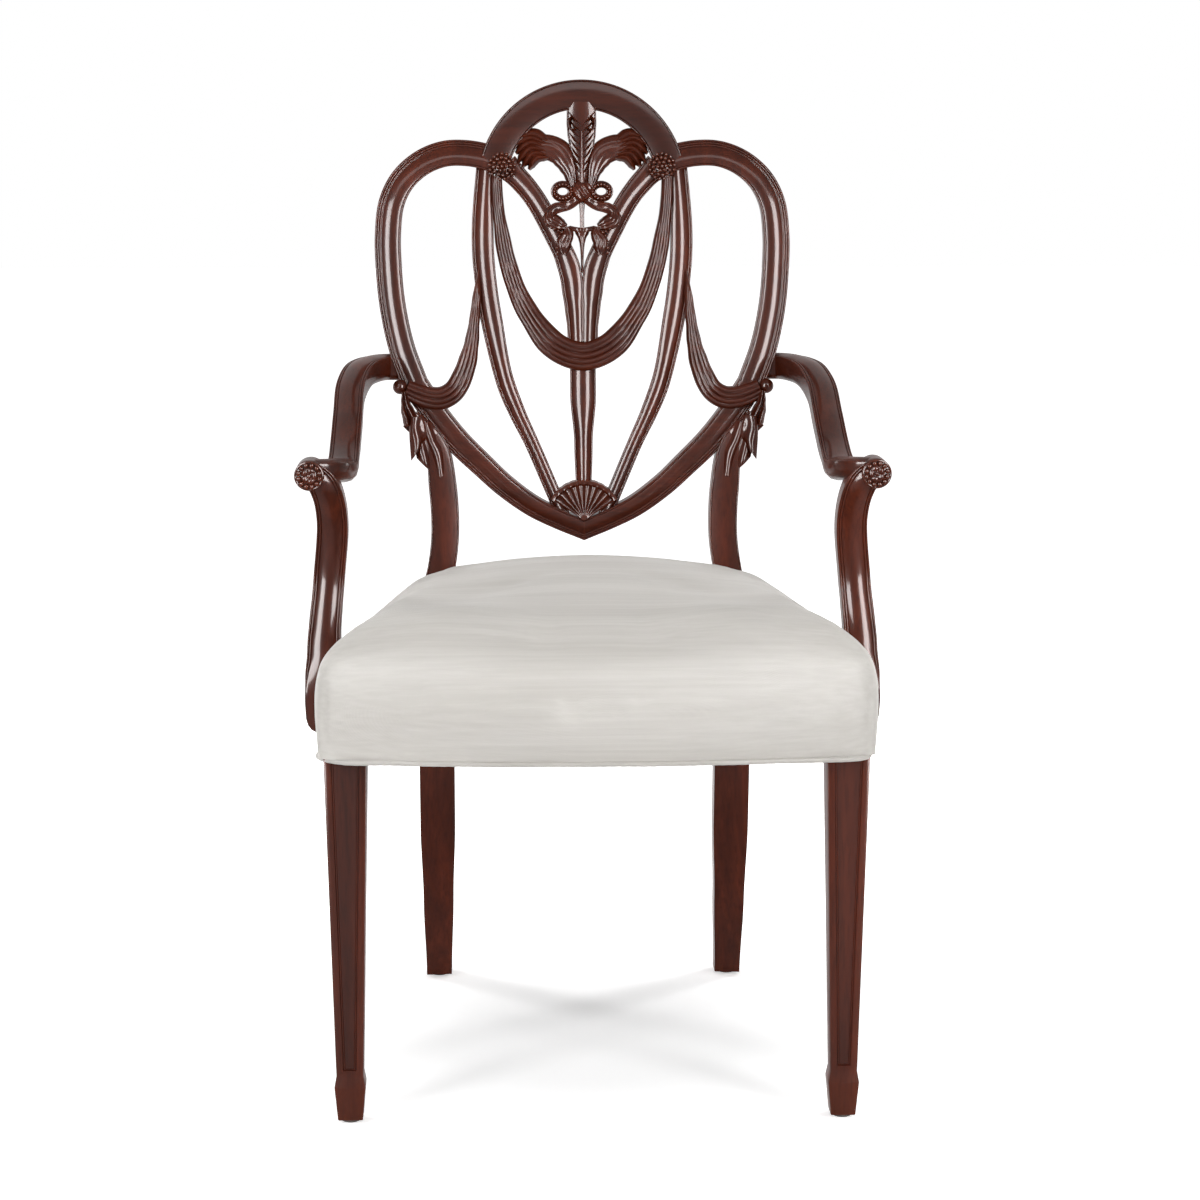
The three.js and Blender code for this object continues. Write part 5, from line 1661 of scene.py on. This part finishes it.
@dataclass
class Arms:
    """The arms, their posts and the carved roundels on their scrolls."""

    carver: FlatCarver
    shop: Workshop
    width: float = 30 * MM
    thickness: float = 28 * MM
    width_shares: tuple[float, ...] = (1, 1, 1, 1, 1, 1, 1, 1.03, 1.05)
    height_shares: tuple[float, ...] = (1, 1, 0.97, 0.94, 0.92, 0.93, 0.93, 0.9, 0.82, 0.8)
    arm_moulding: Moulding = Moulding(bead=1.1 * MM, drop=2.6 * MM, reeds=(2, 2),
                                      ease=mm(6, 6, 6, 6, 6, 7, 9, 12.5, 12.5, 9))
    step: float = 3 * MM
    back_z: float = 705 * MM
    elbow_x: float = 232 * MM
    elbow_z: float = 702 * MM
    dip_z: float = 628 * MM
    run_x: float = 247 * MM
    scroll_x: float = 276 * MM
    scroll_z: float = 618 * MM
    scroll_radius: float = 14.6 * MM
    scroll_front: float = 92 * MM
    scroll_depth: float = 40 * MM
    scroll_ease: tuple[tuple[float, ...], ...] = (mm(0, 1.4), mm(0.4, 0.5), mm(1.4, 0))
    rim_radius: float = 1.1 * MM
    post_top: float = 600 * MM
    post_bottom: float = 366 * MM
    post_places: tuple[Place, ...] = (
        (263, 122, 0), (265, 122, 0.16), (265.5, 130, 0.36), (260.5, 142, 0.62), (256, 134.8, 0.86),
        (260, 118, 1), (266.5, 114, 1.052), (276, 112.5, 1.077))
    post_widths: tuple[float, ...] = mm(40, 40, 37.5, 33, 31.5, 30.5, 30.5, 30.5, 30, 29.5, 27)
    post_half_depths: tuple[float, ...] = mm(15, 15, 15, 15, 18)
    post_moulding: Moulding = Moulding(bead=1.2 * MM, drop=3.0 * MM, reeds=(2, 2), ease=mm(4, 4),
                                       strength=(0.0, 0.0, 0.9, 1.0, 1.0, 1.0, 1.0, 1.0))
    foot_drop: float = 5 * MM
    foot_round: float = 14 * MM
    petal_radius: float = 8.2 * MM
    petals: int = 5
    bead_ring: float = 10.6 * MM
    bead_radius: float = 2.5 * MM
    beads: int = 12

    def build(self) -> None:
        """Makes both arms, posts and roundels."""
        for word, side in SIDES:
            self.arm(f"arm_{word}", side)
            self.post(f"arm_post_{word}", side)
            self.roundel(f"arm_roundel_{word}", side)

    def arm(self, name: str, side: int) -> None:
        """An arm that leaves the shield, comes forward and flows out into its scroll.

        Args:
            name: the node that it stands for.
            side: -1 on the left, 1 on the right.
        """
        root_x = self.carver.point(STILE[10])[0]
        root_y = float(self.carver.lean.depth(root_x, self.back_z))
        front_y = self.carver.lean.start() + self.scroll_front + self.scroll_depth / 2

        def forward(share: float) -> float:
            """Y at a share of the way to the front."""
            return root_y + (front_y - root_y) * share

        def down(share: float) -> float:
            """Height at a share of the arm's fall."""
            return self.elbow_z + (self.dip_z - self.elbow_z) * share

        elbow, run = self.elbow_x, self.run_x
        bend = self.scroll_x - run
        points = (
            (root_x + 2 * MM, root_y + 6 * MM, self.back_z),
            (root_x + 0.6 * (elbow - root_x), root_y + 3 * MM, self.back_z),
            (elbow, forward(0.085), self.back_z), (elbow + 0.6 * (run - elbow), forward(0.2), self.elbow_z),
            *((run, forward(share), down(fall)) for share, fall in ((0.36, 0.18), (0.54, 0.5), (0.72, 0.84))),
            *((self.scroll_x - bend * math.cos(turn), front_y + 1.65 * bend * (1 - math.sin(turn)),
               self.dip_z + rise)
              for turn, rise in zip((0.0, 0.5, 1.05, math.pi / 2), mm(1.5, 4.5, 6.5, 7.0))),
        )
        line = Line(tuple((side * x, y, z - self.thickness / 2) for x, y, z in points))
        own = np.linspace(0, 1, round(line.length() / self.step) + 1)
        middle, tangent = line.at(own)
        level = np.stack([tangent[:, 1], -tangent[:, 0], 0 * own], axis=1)
        level /= np.linalg.norm(level, axis=1)[:, None]
        upright = np.cross(level, tangent)
        half = smoothed(self.height_shares, own) * self.thickness / 2
        outline = self.arm_moulding.outline(own, smoothed(self.width_shares, own) * self.width, -half, half)
        rows = middle[:, None] + outline[..., :1] * level[:, None] - outline[..., 1:] * upright[:, None]
        self.shop.carved(joined(name, [wrapped("run", rows), *self.scroll(side)]), name, Grain.FORWARD)

    def about(self, side: int, reach: Array | float, depth: Array | float, turn: Array | float) -> Array:
        """Points round the middle of the scroll.

        Args:
            side: -1 on the left, 1 on the right.
            reach: how far from the middle they are.
            depth: how far behind the scroll's face they are.
            turn: at what angle they are.

        Returns:
            The points, one per row.
        """
        x = side * (self.scroll_x + reach * np.cos(turn))
        z = self.scroll_z + reach * np.sin(turn)
        y = self.carver.lean.start() + self.scroll_front + depth
        return np.stack(np.broadcast_arrays(x, y, z), axis=-1)

    def scroll(self, side: int) -> list[Piece]:
        """The round scroll at the arm's front, with a fine bead round its face.

        Args:
            side: -1 on the left, 1 on the right.

        Returns:
            The scroll and the bead.
        """
        turns = np.linspace(0, 2 * math.pi, 49)[:-1]
        depths = [*self.scroll_ease, mm(12, 0), mm(28, 0)]
        depths += [(self.scroll_depth - depth, inset) for depth, inset in self.scroll_ease[::-1]]
        drum = [self.about(side, self.scroll_radius - inset, depth, turns) for depth, inset in depths]
        section = np.radians(np.linspace(0, 360, 9))[:-1]
        reach = self.scroll_radius - 1.3 * MM + self.rim_radius * np.cos(section)
        rim = [self.about(side, reach, -0.2 * MM + self.rim_radius * np.sin(section), turn) for turn in turns]
        return [wrapped("scroll", np.stack(drum)), wrapped("rim", np.stack(rim), loop=True)]

    def post(self, name: str, side: int) -> None:
        """An S-shaped post that stands outside the seat rail and carries the arm.

        Args:
            name: the node that it stands for.
            side: -1 on the left, 1 on the right.
        """
        start, bottom = self.carver.lean.start(), self.post_bottom
        rise = self.post_top - bottom
        line = Line(tuple((side * x * MM, start + y * MM, bottom + rise * s) for x, y, s in self.post_places))
        own = np.linspace(0, 1, round(line.length() / self.step) + 1)
        drop = self.foot_drop / line.length()
        along = line.at(own * (1 + drop) - drop)
        half = smoothed(self.post_half_depths, own)
        widths = smoothed(self.post_widths, own)
        post = wrapped(name, swept(self.post_moulding, own, along, widths, -half, half))
        outer = self.post_places[0][0] * MM + self.post_widths[0] / 2
        corner = Vector((side * (outer - self.foot_round), 0, bottom - self.foot_drop + self.foot_round))
        for turn in np.radians((15, 37, 60)):
            outward = Vector((side * math.cos(turn), 0, -math.sin(turn)))
            cut(post, corner + outward * self.foot_round, outward)
        self.shop.carved(post, name)

    def roundel(self, name: str, side: int) -> None:
        """A petalled roundel on the scroll's face: petals, a boss and a ring of beads.

        Args:
            name: the node that it stands for.
            side: -1 on the left, 1 on the right.
        """
        turns = np.linspace(0, 2 * math.pi, 96, endpoint=False)[:, None]
        shares = np.linspace(0, 1, 18)[None]
        petal = np.abs(np.sin(self.petals / 2 * turns))
        reach = self.petal_radius * shares * (0.86 + 0.14 * petal)
        cup = np.sin(math.pi * np.clip((shares - 0.3) / 0.7, 0, 1))
        boss = np.sqrt(np.maximum(1 - (shares / 0.3) ** 2, 0))
        height = (1.1 + 1.5 * petal**0.6 * cup + 1.9 * boss) * MM
        face = self.about(side, reach, -height, turns)
        behind = self.about(side, reach, -0.35 * MM, turns)[:, ::-1]
        parts = [wrapped("petals", np.concatenate([face, behind], axis=1), tube=False, loop=True)]
        for turn in 2 * math.pi * (np.arange(self.beads) + 0.5) / self.beads:
            place = self.about(side, self.bead_ring, -1.0 * MM, turn)
            parts.append(ball("bead", place, self.bead_radius, squash=0.85))
        self.shop.carved(joined(name, parts), name, Grain.LEVEL)


# The seat


@dataclass
class Seat:
    """The satin cover over its foam, the piping and the dust cover."""

    carver: FlatCarver
    shop: Workshop
    underside: float = 365 * MM
    edge: float = 445 * MM
    crown: float = 507 * MM
    front_half: float = 267 * MM
    back_half: float = 176 * MM
    front: float = -28 * MM
    back: float = 432 * MM
    bow: float = 25 * MM
    corner: float = 17 * MM
    welt_radius: float = 2.6 * MM
    oval: tuple[float, ...] = mm(228, 222)
    seam_inset: float = 1.5 * MM
    skirt: float = 45 * MM
    lip: float = 1.5 * MM
    wall: Shares = ((0.984, 0), (0.994, 15), (1.004, 30), (1.006, 52))
    dome: Shares = ((0.985, 0.1), (0.955, 0.275), (0.905, 0.44), (0.83, 0.585), (0.73, 0.715), (0.6, 0.835),
                    (0.45, 0.92), (0.3, 0.97), (0.15, 0.995))
    corner_fall: float = 7 * MM
    corner_reach: float = 70 * MM
    side_fullness: float = 14 * MM
    cloth_thickness: float = 2.4 * MM
    cloth_reach: float = 4.5 * MM
    leg_half: float = 261.5 * MM
    leg_depth: float = 48 * MM
    welt_drop: float = 3.3 * MM
    sheet_inset: float = 13 * MM
    sheet_half_rear: float = 138 * MM

    def half_at(self, y: Array | float) -> Array | float:
        """The seat's half-width at a depth."""
        return self.front_half + (self.back_half - self.front_half) * y / self.back

    def outline(self, inset: float = 0.0, rounding: float = 1.0) -> Array:
        """The seat seen from above, from the back's middle round by the left.

        Args:
            inset: how far inside the seam it runs.
            rounding: how much larger the corners' rounding is.

        Returns:
            Points (x, y), evenly spaced.
        """
        corner = self.corner * rounding
        front, back = self.front + inset, self.back - inset
        half_back = self.half_at(back) - inset
        half_front = self.half_at(front) - inset
        side_y = front + corner
        half_side = self.half_at(side_y) - inset
        anchors: list[tuple[float, float]] = [(0, back)]
        anchors += [(-half_back * s, back) for s in (0.5, 0.85, 0.97)]
        anchors += [(-half_back - 0.5 * MM, back - 4 * MM)]
        anchors += [(-(self.half_at(y) - inset), y) for y in np.linspace(back - 22 * MM, side_y + 8 * MM, 12)]
        for t in (0.15, 0.5, 0.85):
            first, second, third = (1 - t) ** 2, 2 * t * (1 - t), t**2
            x = first * half_side + second * half_front + third * (half_front - corner)
            anchors.append((-x, first * side_y + second * front + third * (front - self.bow * 0.08)))
        for share in np.linspace(0.9, 0, 8):
            anchors.append((-half_front * share, front - self.bow * (0.08 + 0.92 * (1 - share**2))))
        mirrored = [(-x, y) for x, y in reversed(anchors[1:-1])]
        line = Line(tuple((x, y, 0.0) for x, y in (*anchors, *mirrored, anchors[0])))
        points, _ = line.at(np.linspace(0, 1, 161)[:-1])
        return points[:, :2]

    def build(self) -> None:
        """Makes the seat's pieces."""
        self.piping(self.pad())
        self.dust_cover()

    def form(self) -> Array:
        """The domed form inside the cover, with a skirt below it that is cut off later.

        Returns:
            Rings of points, from the lowest to the crown.
        """
        under, rise = self.underside, self.crown - self.edge - 0.5 * MM
        floor = under - self.skirt
        rings = [(0.0, floor), (0.5, floor), *((0.983, under - self.skirt * s) for s in (1, 2 / 3, 1 / 3))]
        rings += [(share, under + height * MM) for share, height in self.wall]
        rings += [(0.999, self.edge - 8 * MM)]
        rings += [(share, self.edge + rise * height) for share, height in (*self.dome, (0.0, 1.0))]
        middle = np.array([0.0, self.back / 2])
        edge = self.outline(self.seam_inset)
        way = edge - middle
        sharp = self.outline(self.seam_inset, 0.25) - middle
        turn = np.arctan2(way[:, 1] / self.oval[1], way[:, 0] / self.oval[0])
        oval = np.stack([self.oval[0] * np.cos(turn), self.oval[1] * np.sin(turn)], axis=1)
        corner = np.hypot(np.abs(edge[:, 0]) - self.front_half, edge[:, 1] - self.front) / self.corner_reach
        sides = np.clip((np.abs(way[:, 0]) - 60 * MM) / (120 * MM), 0, 1)
        sides = sides * np.clip((200 * MM - way[:, 1]) / (150 * MM), 0, 1)
        rows = []
        for share, z in rings:
            rounded = smoothed((0.0, 1.0), np.array([(1 - share) / 0.4 * (z > self.edge)]))
            tight = float(np.clip(1 - (z - under) / (40 * MM), 0, 1))
            ring = middle + (way * (1 - rounded - tight) + oval * rounded + sharp * tight) * share
            height = max(0.0, z - under - 30 * MM) / (self.crown - under)
            fallen = self.corner_fall * np.exp(-(corner**2)) * height * share
            fuller = self.side_fullness * math.exp(-(((share - 0.85) / 0.12) ** 2)) * (z > self.edge)
            rows.append(np.column_stack([ring, z - fallen + fuller * sides]))
        return np.stack(rows) + (0, self.carver.lean.start(), 0)

    def pad(self) -> Array:
        """The stuffed seat: a domed form that is puffed up as cloth, then opened underneath.

        Returns:
            Points round its lower edge.
        """
        pad = wrapped("seat_pad", self.form())
        self.puff(pad)
        apply(pad, "SMOOTH", factor=0.5, iterations=4)
        apply(pad, "SUBSURF", levels=1, render_levels=1)
        moved(pad, self.dented)
        cut(pad, Vector((0, 0, self.underside - self.lip)), Vector((0, 0, -1)))
        self.open_below(pad)
        hem = self.hem(pad)
        apply(pad, "SOLIDIFY", thickness=self.cloth_thickness, offset=-1.0, use_even_offset=False)
        self.shop.hand_over(pad, "satin", "satin", "seat_cover", "seat_foam", angle=60)
        return hem

    def hem(self, pad: Piece) -> Array:
        """Finds the pad's lower edge.

        Args:
            pad: the pad, open below.

        Returns:
            Points round it, from the back's middle round by the left.
        """
        near = np.array([v.co[:] for v in pad.data.vertices if v.co.z < self.underside + 3 * MM])
        middle = self.carver.lean.start() + self.back / 2
        way = near[:, :2] - (0, middle)
        turn = np.arctan2(-way[:, 0], way[:, 1]) % (2 * math.pi)
        reach = np.hypot(way[:, 0], way[:, 1])
        points = []
        for angle in np.linspace(0, 2 * math.pi, 181)[:-1]:
            gap = np.abs((turn - angle + math.pi) % (2 * math.pi) - math.pi)
            far = reach[np.argsort(gap)[:5]].max()
            points.append((-far * math.sin(angle), middle + far * math.cos(angle)))
        return np.array(points)

    def puff(self, pad: Piece) -> None:
        """Runs cloth over the form, and keeps each point within a few millimetres of its start.

        Args:
            pad: the form's mesh object.
        """
        apply(pad, "REMESH", mode="VOXEL", voxel_size=5.5 * MM)
        before = np.empty(len(pad.data.vertices) * 3, np.float32)
        pad.data.vertices.foreach_get("co", before)
        select_only(pad)
        cloth = pad.modifiers.new("Cloth", "CLOTH")
        cloth.settings.use_pressure = True
        cloth.settings.uniform_pressure_force = 4.0
        cloth.settings.effector_weights.gravity = 0.0
        cloth.settings.quality = 4
        cloth.settings.tension_stiffness = 30
        cloth.settings.bending_stiffness = 6
        cloth.point_cache.frame_start = 1
        cloth.point_cache.frame_end = 20
        for step in range(1, 21):
            bpy.context.scene.frame_set(step)
        bpy.ops.object.modifier_apply(modifier=cloth.name)
        bpy.context.scene.frame_set(1)

        def capped(after: Array) -> Array:
            """Shortens each point's way, most of all near the lower edge.

            Args:
                after: the points that the cloth reached.

            Returns:
                The points on the shortened ways.
            """
            start = before.reshape(-1, 3).astype(float)
            way = after - start
            reach = np.linalg.norm(way, axis=1)[:, None]
            limit = self.cloth_reach * np.clip((start[:, 2:] - self.underside) / (40 * MM), 0.1, 1)
            return start + way * np.minimum(1, limit / np.maximum(reach, 1e-9))

        moved(pad, capped)

    def dented(self, v: Array) -> Array:
        """Draws the front corners' seams in, keeps the cloth outside the legs and ripples the boxing.

        Args:
            v: the pad's points, one per row.

        Returns:
            Their new places.
        """
        front = self.carver.lean.start() + self.front
        x, y, z = v.T
        out = v.copy()
        for side in (-1, 1):
            away = np.hypot(x - side * (self.front_half - 7 * MM), y - front + 1 * MM)
            pull = 1.6 * MM * np.exp(-((away / (5 * MM)) ** 2)) * (z < self.edge + 6 * MM)
            out[:, 0] -= side * pull * 0.6
            out[:, 1] += pull * 0.8
        beyond = y - front
        keep = self.leg_half - 0.45 * np.maximum(beyond - self.leg_depth, 0)
        near = (np.abs(x) > keep - 8 * MM) * (z < self.edge - 15 * MM)
        short = np.clip(keep - np.abs(x), 0, 5 * MM) * near
        out[:, 0] += np.sign(x) * short * np.clip((beyond - 8 * MM) / (8 * MM), 0, 1)
        low = 1 - np.clip((z - self.underside) / (self.edge - self.underside), 0, 1)
        facing = np.clip((30 * MM - beyond) / (20 * MM), 0, 1)
        ripple = np.sin(x * 61 + 1.3) * np.sin(x * 23 + 0.4)
        out[:, 1] += facing * low**2 * ripple * 0.9 * MM
        return out

    def open_below(self, pad: Piece) -> None:
        """Takes out the flat face that the cut left underneath.

        Args:
            pad: the pad's mesh object.
        """
        pick(pad, Vector((0, 0, -1)))
        for face in pad.data.polygons:
            if face.center.z > self.underside + 1 * MM:
                face.select = False
        with edit_mode(pad):
            bpy.ops.mesh.delete(type="FACE")

    def piping(self, hem: Array) -> None:
        """The covered cord along the pad's lower edge, from one rear leg round to the other.

        Args:
            hem: points round the pad's lower edge.
        """
        _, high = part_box("seat_welt")
        hem = hem * (1 - 0.5 * MM / np.hypot(hem[:, 0], hem[:, 1]))[:, None]
        around = hem[hem[:, 1] < high[1] - self.welt_radius]
        line = Line(tuple((x, y, self.underside - self.welt_drop) for x, y in around[::3]))
        own = np.linspace(0, 1, round(line.length() / (2 * MM)) + 1)
        middle, tangent = line.at(own)
        outward = np.stack([tangent[:, 1], -tangent[:, 0], 0 * own], axis=1)
        turns = np.radians(np.linspace(0, 360, 13))[None, :-1, None]
        swell = self.welt_radius * (1 + 0.03 * np.sin(own * 900))[:, None, None]
        ring = outward[:, None] * np.cos(turns) + np.array([0, 0, 1.0]) * np.sin(turns)
        cord = wrapped("seat_welt", middle[:, None] + swell * ring)
        self.shop.hand_over(cord, "welt_satin", "satin", "seat_welt", angle=60)

    def dust_cover(self) -> None:
        """Black cambric, stretched under the frame and sagging a little."""
        start = self.carver.lean.start()
        _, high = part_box("dust_cover")
        edge = self.outline(self.sheet_inset)
        middle = np.array([0.0, self.back / 2])
        rows = []
        for share in np.linspace(0, 1, 22):
            ring = middle + (edge - middle) * share + (0, start)
            height = high[2] - 0.7 * MM - 0.7 * MM * (1 - share**2)
            rows.append(np.column_stack([ring, np.full(len(ring), height)]))
        rows = self.clear_of_legs(np.stack(rows))
        sheet = welded(spread("dust_cover", np.concatenate([rows, rows[:, :1]], axis=1)), fill=False)
        apply(sheet, "SOLIDIFY", thickness=0.4 * MM, offset=0.0)
        self.shop.hand_over(sheet, "cambric", "cambric", "dust_cover", angle=60)
        wide = float(np.ptp(edge[:, 0]))
        deep = float(np.ptp(edge[:, 1]))

    def clear_of_legs(self, rows: Array) -> Array:
        """Draws the sheet's corners in, so that they stay clear of the legs.

        Args:
            rows: rows of its points.

        Returns:
            The rows, drawn in.
        """
        low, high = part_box("front_leg_right")
        rear = self.carver.lean.start() + self.back - 46 * MM
        out = rows.copy()
        for near, limit in ((rows[..., 1] < high[1] + 3 * MM, low[0] - 2 * MM),
                            (rows[..., 1] > rear, self.sheet_half_rear)):
            out[..., 0] = np.where(near, np.clip(rows[..., 0], -limit, limit), out[..., 0])
        return out


@dataclass
class HiddenPieces:
    """The frame's own solids that need only a better finish."""

    finishes: Finishes
    by_start: dict[str, str] = field(default_factory=lambda: {
        "side_rail": "rail_wood", "front_rail": "rail_wood", "rear_rail": "rail_wood",
        "corner_block": "rail_wood", "corner_screw": "steel", "arm_post_screw": "steel",
        "seat_webbing": "webbing", "seat_foam": "foam", "dust_cover": "cambric", "glide": "nylon",
        "seat": "satin",
    })

    def dress(self) -> None:
        """Gives every node of the frame a finish."""
        for name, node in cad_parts.items():
            known = [finish for start, finish in self.by_start.items() if name.startswith(start)]
            self.finishes.dress(node, [*known, "mahogany_upright"][0])


# The studio


@dataclass
class Studio:
    """A white floor, soft lamps and the camera."""

    carver: FlatCarver
    camera_place: tuple[float, float, float] = (-90 * MM, -2800 * MM, 974 * MM)
    yaw: float = math.radians(1.9)
    pitch: float = math.radians(9.4)
    lens: float = 90.0
    fill: float = 0.32
    floor_size: float = 30.0
    # the floor's glow is weakest near the chair: painted shade round the real cast shadow
    glow_reach: tuple[float, float] = (0.15, 0.62)
    glow_dimmed_near_chair: tuple[float, float] = (0.27, 0.9)
    target: Place = (0, 0, 0.75)

    def build(self) -> None:
        """Makes the floor, the world, the lamps and the camera."""
        self.floor()
        self.world()
        for word, side in SIDES:
            self.lamp(f"{word}_key", Vector((side * 1.5, -1.7, 1.05)), (0.5, 1.6), 8.1)
            self.lamp(f"{word}_rim", Vector((side * 1.75, 1.2, 1.2)), (0.3, 1.8), 12.0)
            self.lamp(f"{word}_panel", Vector((side * 1.3, -1.9, 1.3)), (0.85, 1.9), 60.0, diffuse=False)
        self.lamp("sky", Vector((0, -0.3, 3.4)), (2.4, 2.0), 1.9, gloss=False)
        self.lamp("top", Vector((0, -1.7, 2.5)), (2.0, 0.45), 9.0, diffuse=False)
        self.camera()

    def floor(self) -> None:
        """A white floor showing the real shadow and a glow dimmed near the chair as painted shade, edgeless,
        clear below.
        """
        floor = primitive("studio_floor", bpy.ops.mesh.primitive_plane_add, size=self.floor_size)
        material = bpy.data.materials.new("studio_floor")
        material.use_nodes = True
        nodes = Nodes(material.node_tree)
        matte = nodes.add("BsdfDiffuse", {"Color": (0.93, 0.93, 0.93, 1)})
        where = nodes.add("TexCoord").outputs["Object"]
        reach = nodes.add("VectorMath", {0: where}, operation="LENGTH").outputs["Value"]
        # glow that rises with distance from the chair, so the floor near it is darker: painted shade
        level = nodes.ranged(reach, *self.glow_reach, *self.glow_dimmed_near_chair)
        glow = nodes.add("Emission", {"Color": (1, 1, 1, 1), "Strength": level})
        path = nodes.add("LightPath")
        seen = nodes.math("MAXIMUM", path.outputs["Is Camera Ray"], path.outputs["Is Glossy Ray"])
        both = nodes.add("AddShader", {0: matte.outputs[0], 1: glow.outputs[0]})
        mixed = nodes.add("MixShader", {0: seen, 1: matte.outputs[0], 2: both.outputs[0]})
        below = nodes.add("NewGeometry").outputs["Backfacing"]
        clear = nodes.add("BsdfTransparent")
        shown = nodes.add("MixShader", {0: below, 1: mixed.outputs[0], 2: clear.outputs[0]})
        nodes.add("OutputMaterial", {"Surface": shown.outputs[0]})
        floor.data.materials.append(material)

    def world(self) -> None:
        """White where it is seen, and a soft grey light elsewhere."""
        world = bpy.data.worlds.new("studio")
        bpy.context.scene.world = world
        world.use_nodes = True
        nodes = Nodes(world.node_tree)
        path = nodes.add("LightPath")
        clear = nodes.math("MAXIMUM", path.outputs["Is Camera Ray"], path.outputs["Is Transmission Ray"])
        seen = nodes.math("MAXIMUM", clear, path.outputs["Is Glossy Ray"])
        strength = nodes.math("MULTIPLY_ADD", seen, 1 - self.fill, self.fill)
        shader = nodes.add("Background", {"Color": (1, 1, 1, 1), "Strength": strength})
        nodes.add("OutputWorld", {"Surface": shader.outputs[0]})

    def lamp(self, name: str, place: Vector, size: tuple[float, float], radiance: float, diffuse: bool = True,
             gloss: bool = True) -> None:
        """A rectangular softbox that looks at the chair's middle.

        Args:
            name: the lamp's name.
            place: its middle.
            size: its width and height.
            radiance: how bright its face is, where white is 1.
            diffuse: whether it lights matt surfaces.
            gloss: whether it is seen as a reflection in the polish.
        """
        data = bpy.data.lights.new(name, "AREA")
        data.shape = "RECTANGLE"
        data.size, data.size_y = size
        data.energy = radiance * math.pi * size[0] * size[1]
        lamp = bpy.data.objects.new(name, data)
        lamp.location = place
        lamp.rotation_euler = (Vector(self.target) - place).to_track_quat("-Z", "Y").to_euler()
        lamp.visible_camera = False
        lamp.visible_diffuse = diffuse
        lamp.visible_glossy = gloss
        bpy.context.collection.objects.link(lamp)

    def camera(self) -> None:
        """The photograph's viewpoint: slightly left of the chair and looking down."""
        data = bpy.data.cameras.new("camera")
        data.lens = self.lens
        data.sensor_width = 36.0
        camera = bpy.data.objects.new("camera", data)
        camera.location = Vector(self.camera_place) + Vector((0, self.carver.lean.start(), 0))
        camera.rotation_euler = (math.pi / 2 - self.pitch, 0, -self.yaw)
        bpy.context.collection.objects.link(camera)
        bpy.context.scene.camera = camera
        bpy.context.scene.view_settings.view_transform = "Standard"


def main() -> None:
    logging.basicConfig(level=logging.INFO, format="%(name)s %(message)s")
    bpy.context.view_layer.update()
    shop = Workshop(Finishes())
    carver = FlatCarver(Lean())
    Studio(carver).build()
    HiddenPieces(shop.finishes).dress()
    for kind in (ShieldFrame, Splat, CrestCarving, Ornaments, Legs, Arms, Seat):
        log.info("building %s", kind.__name__)
        kind(carver, shop).build()


if __name__ == "__main__":
    main()
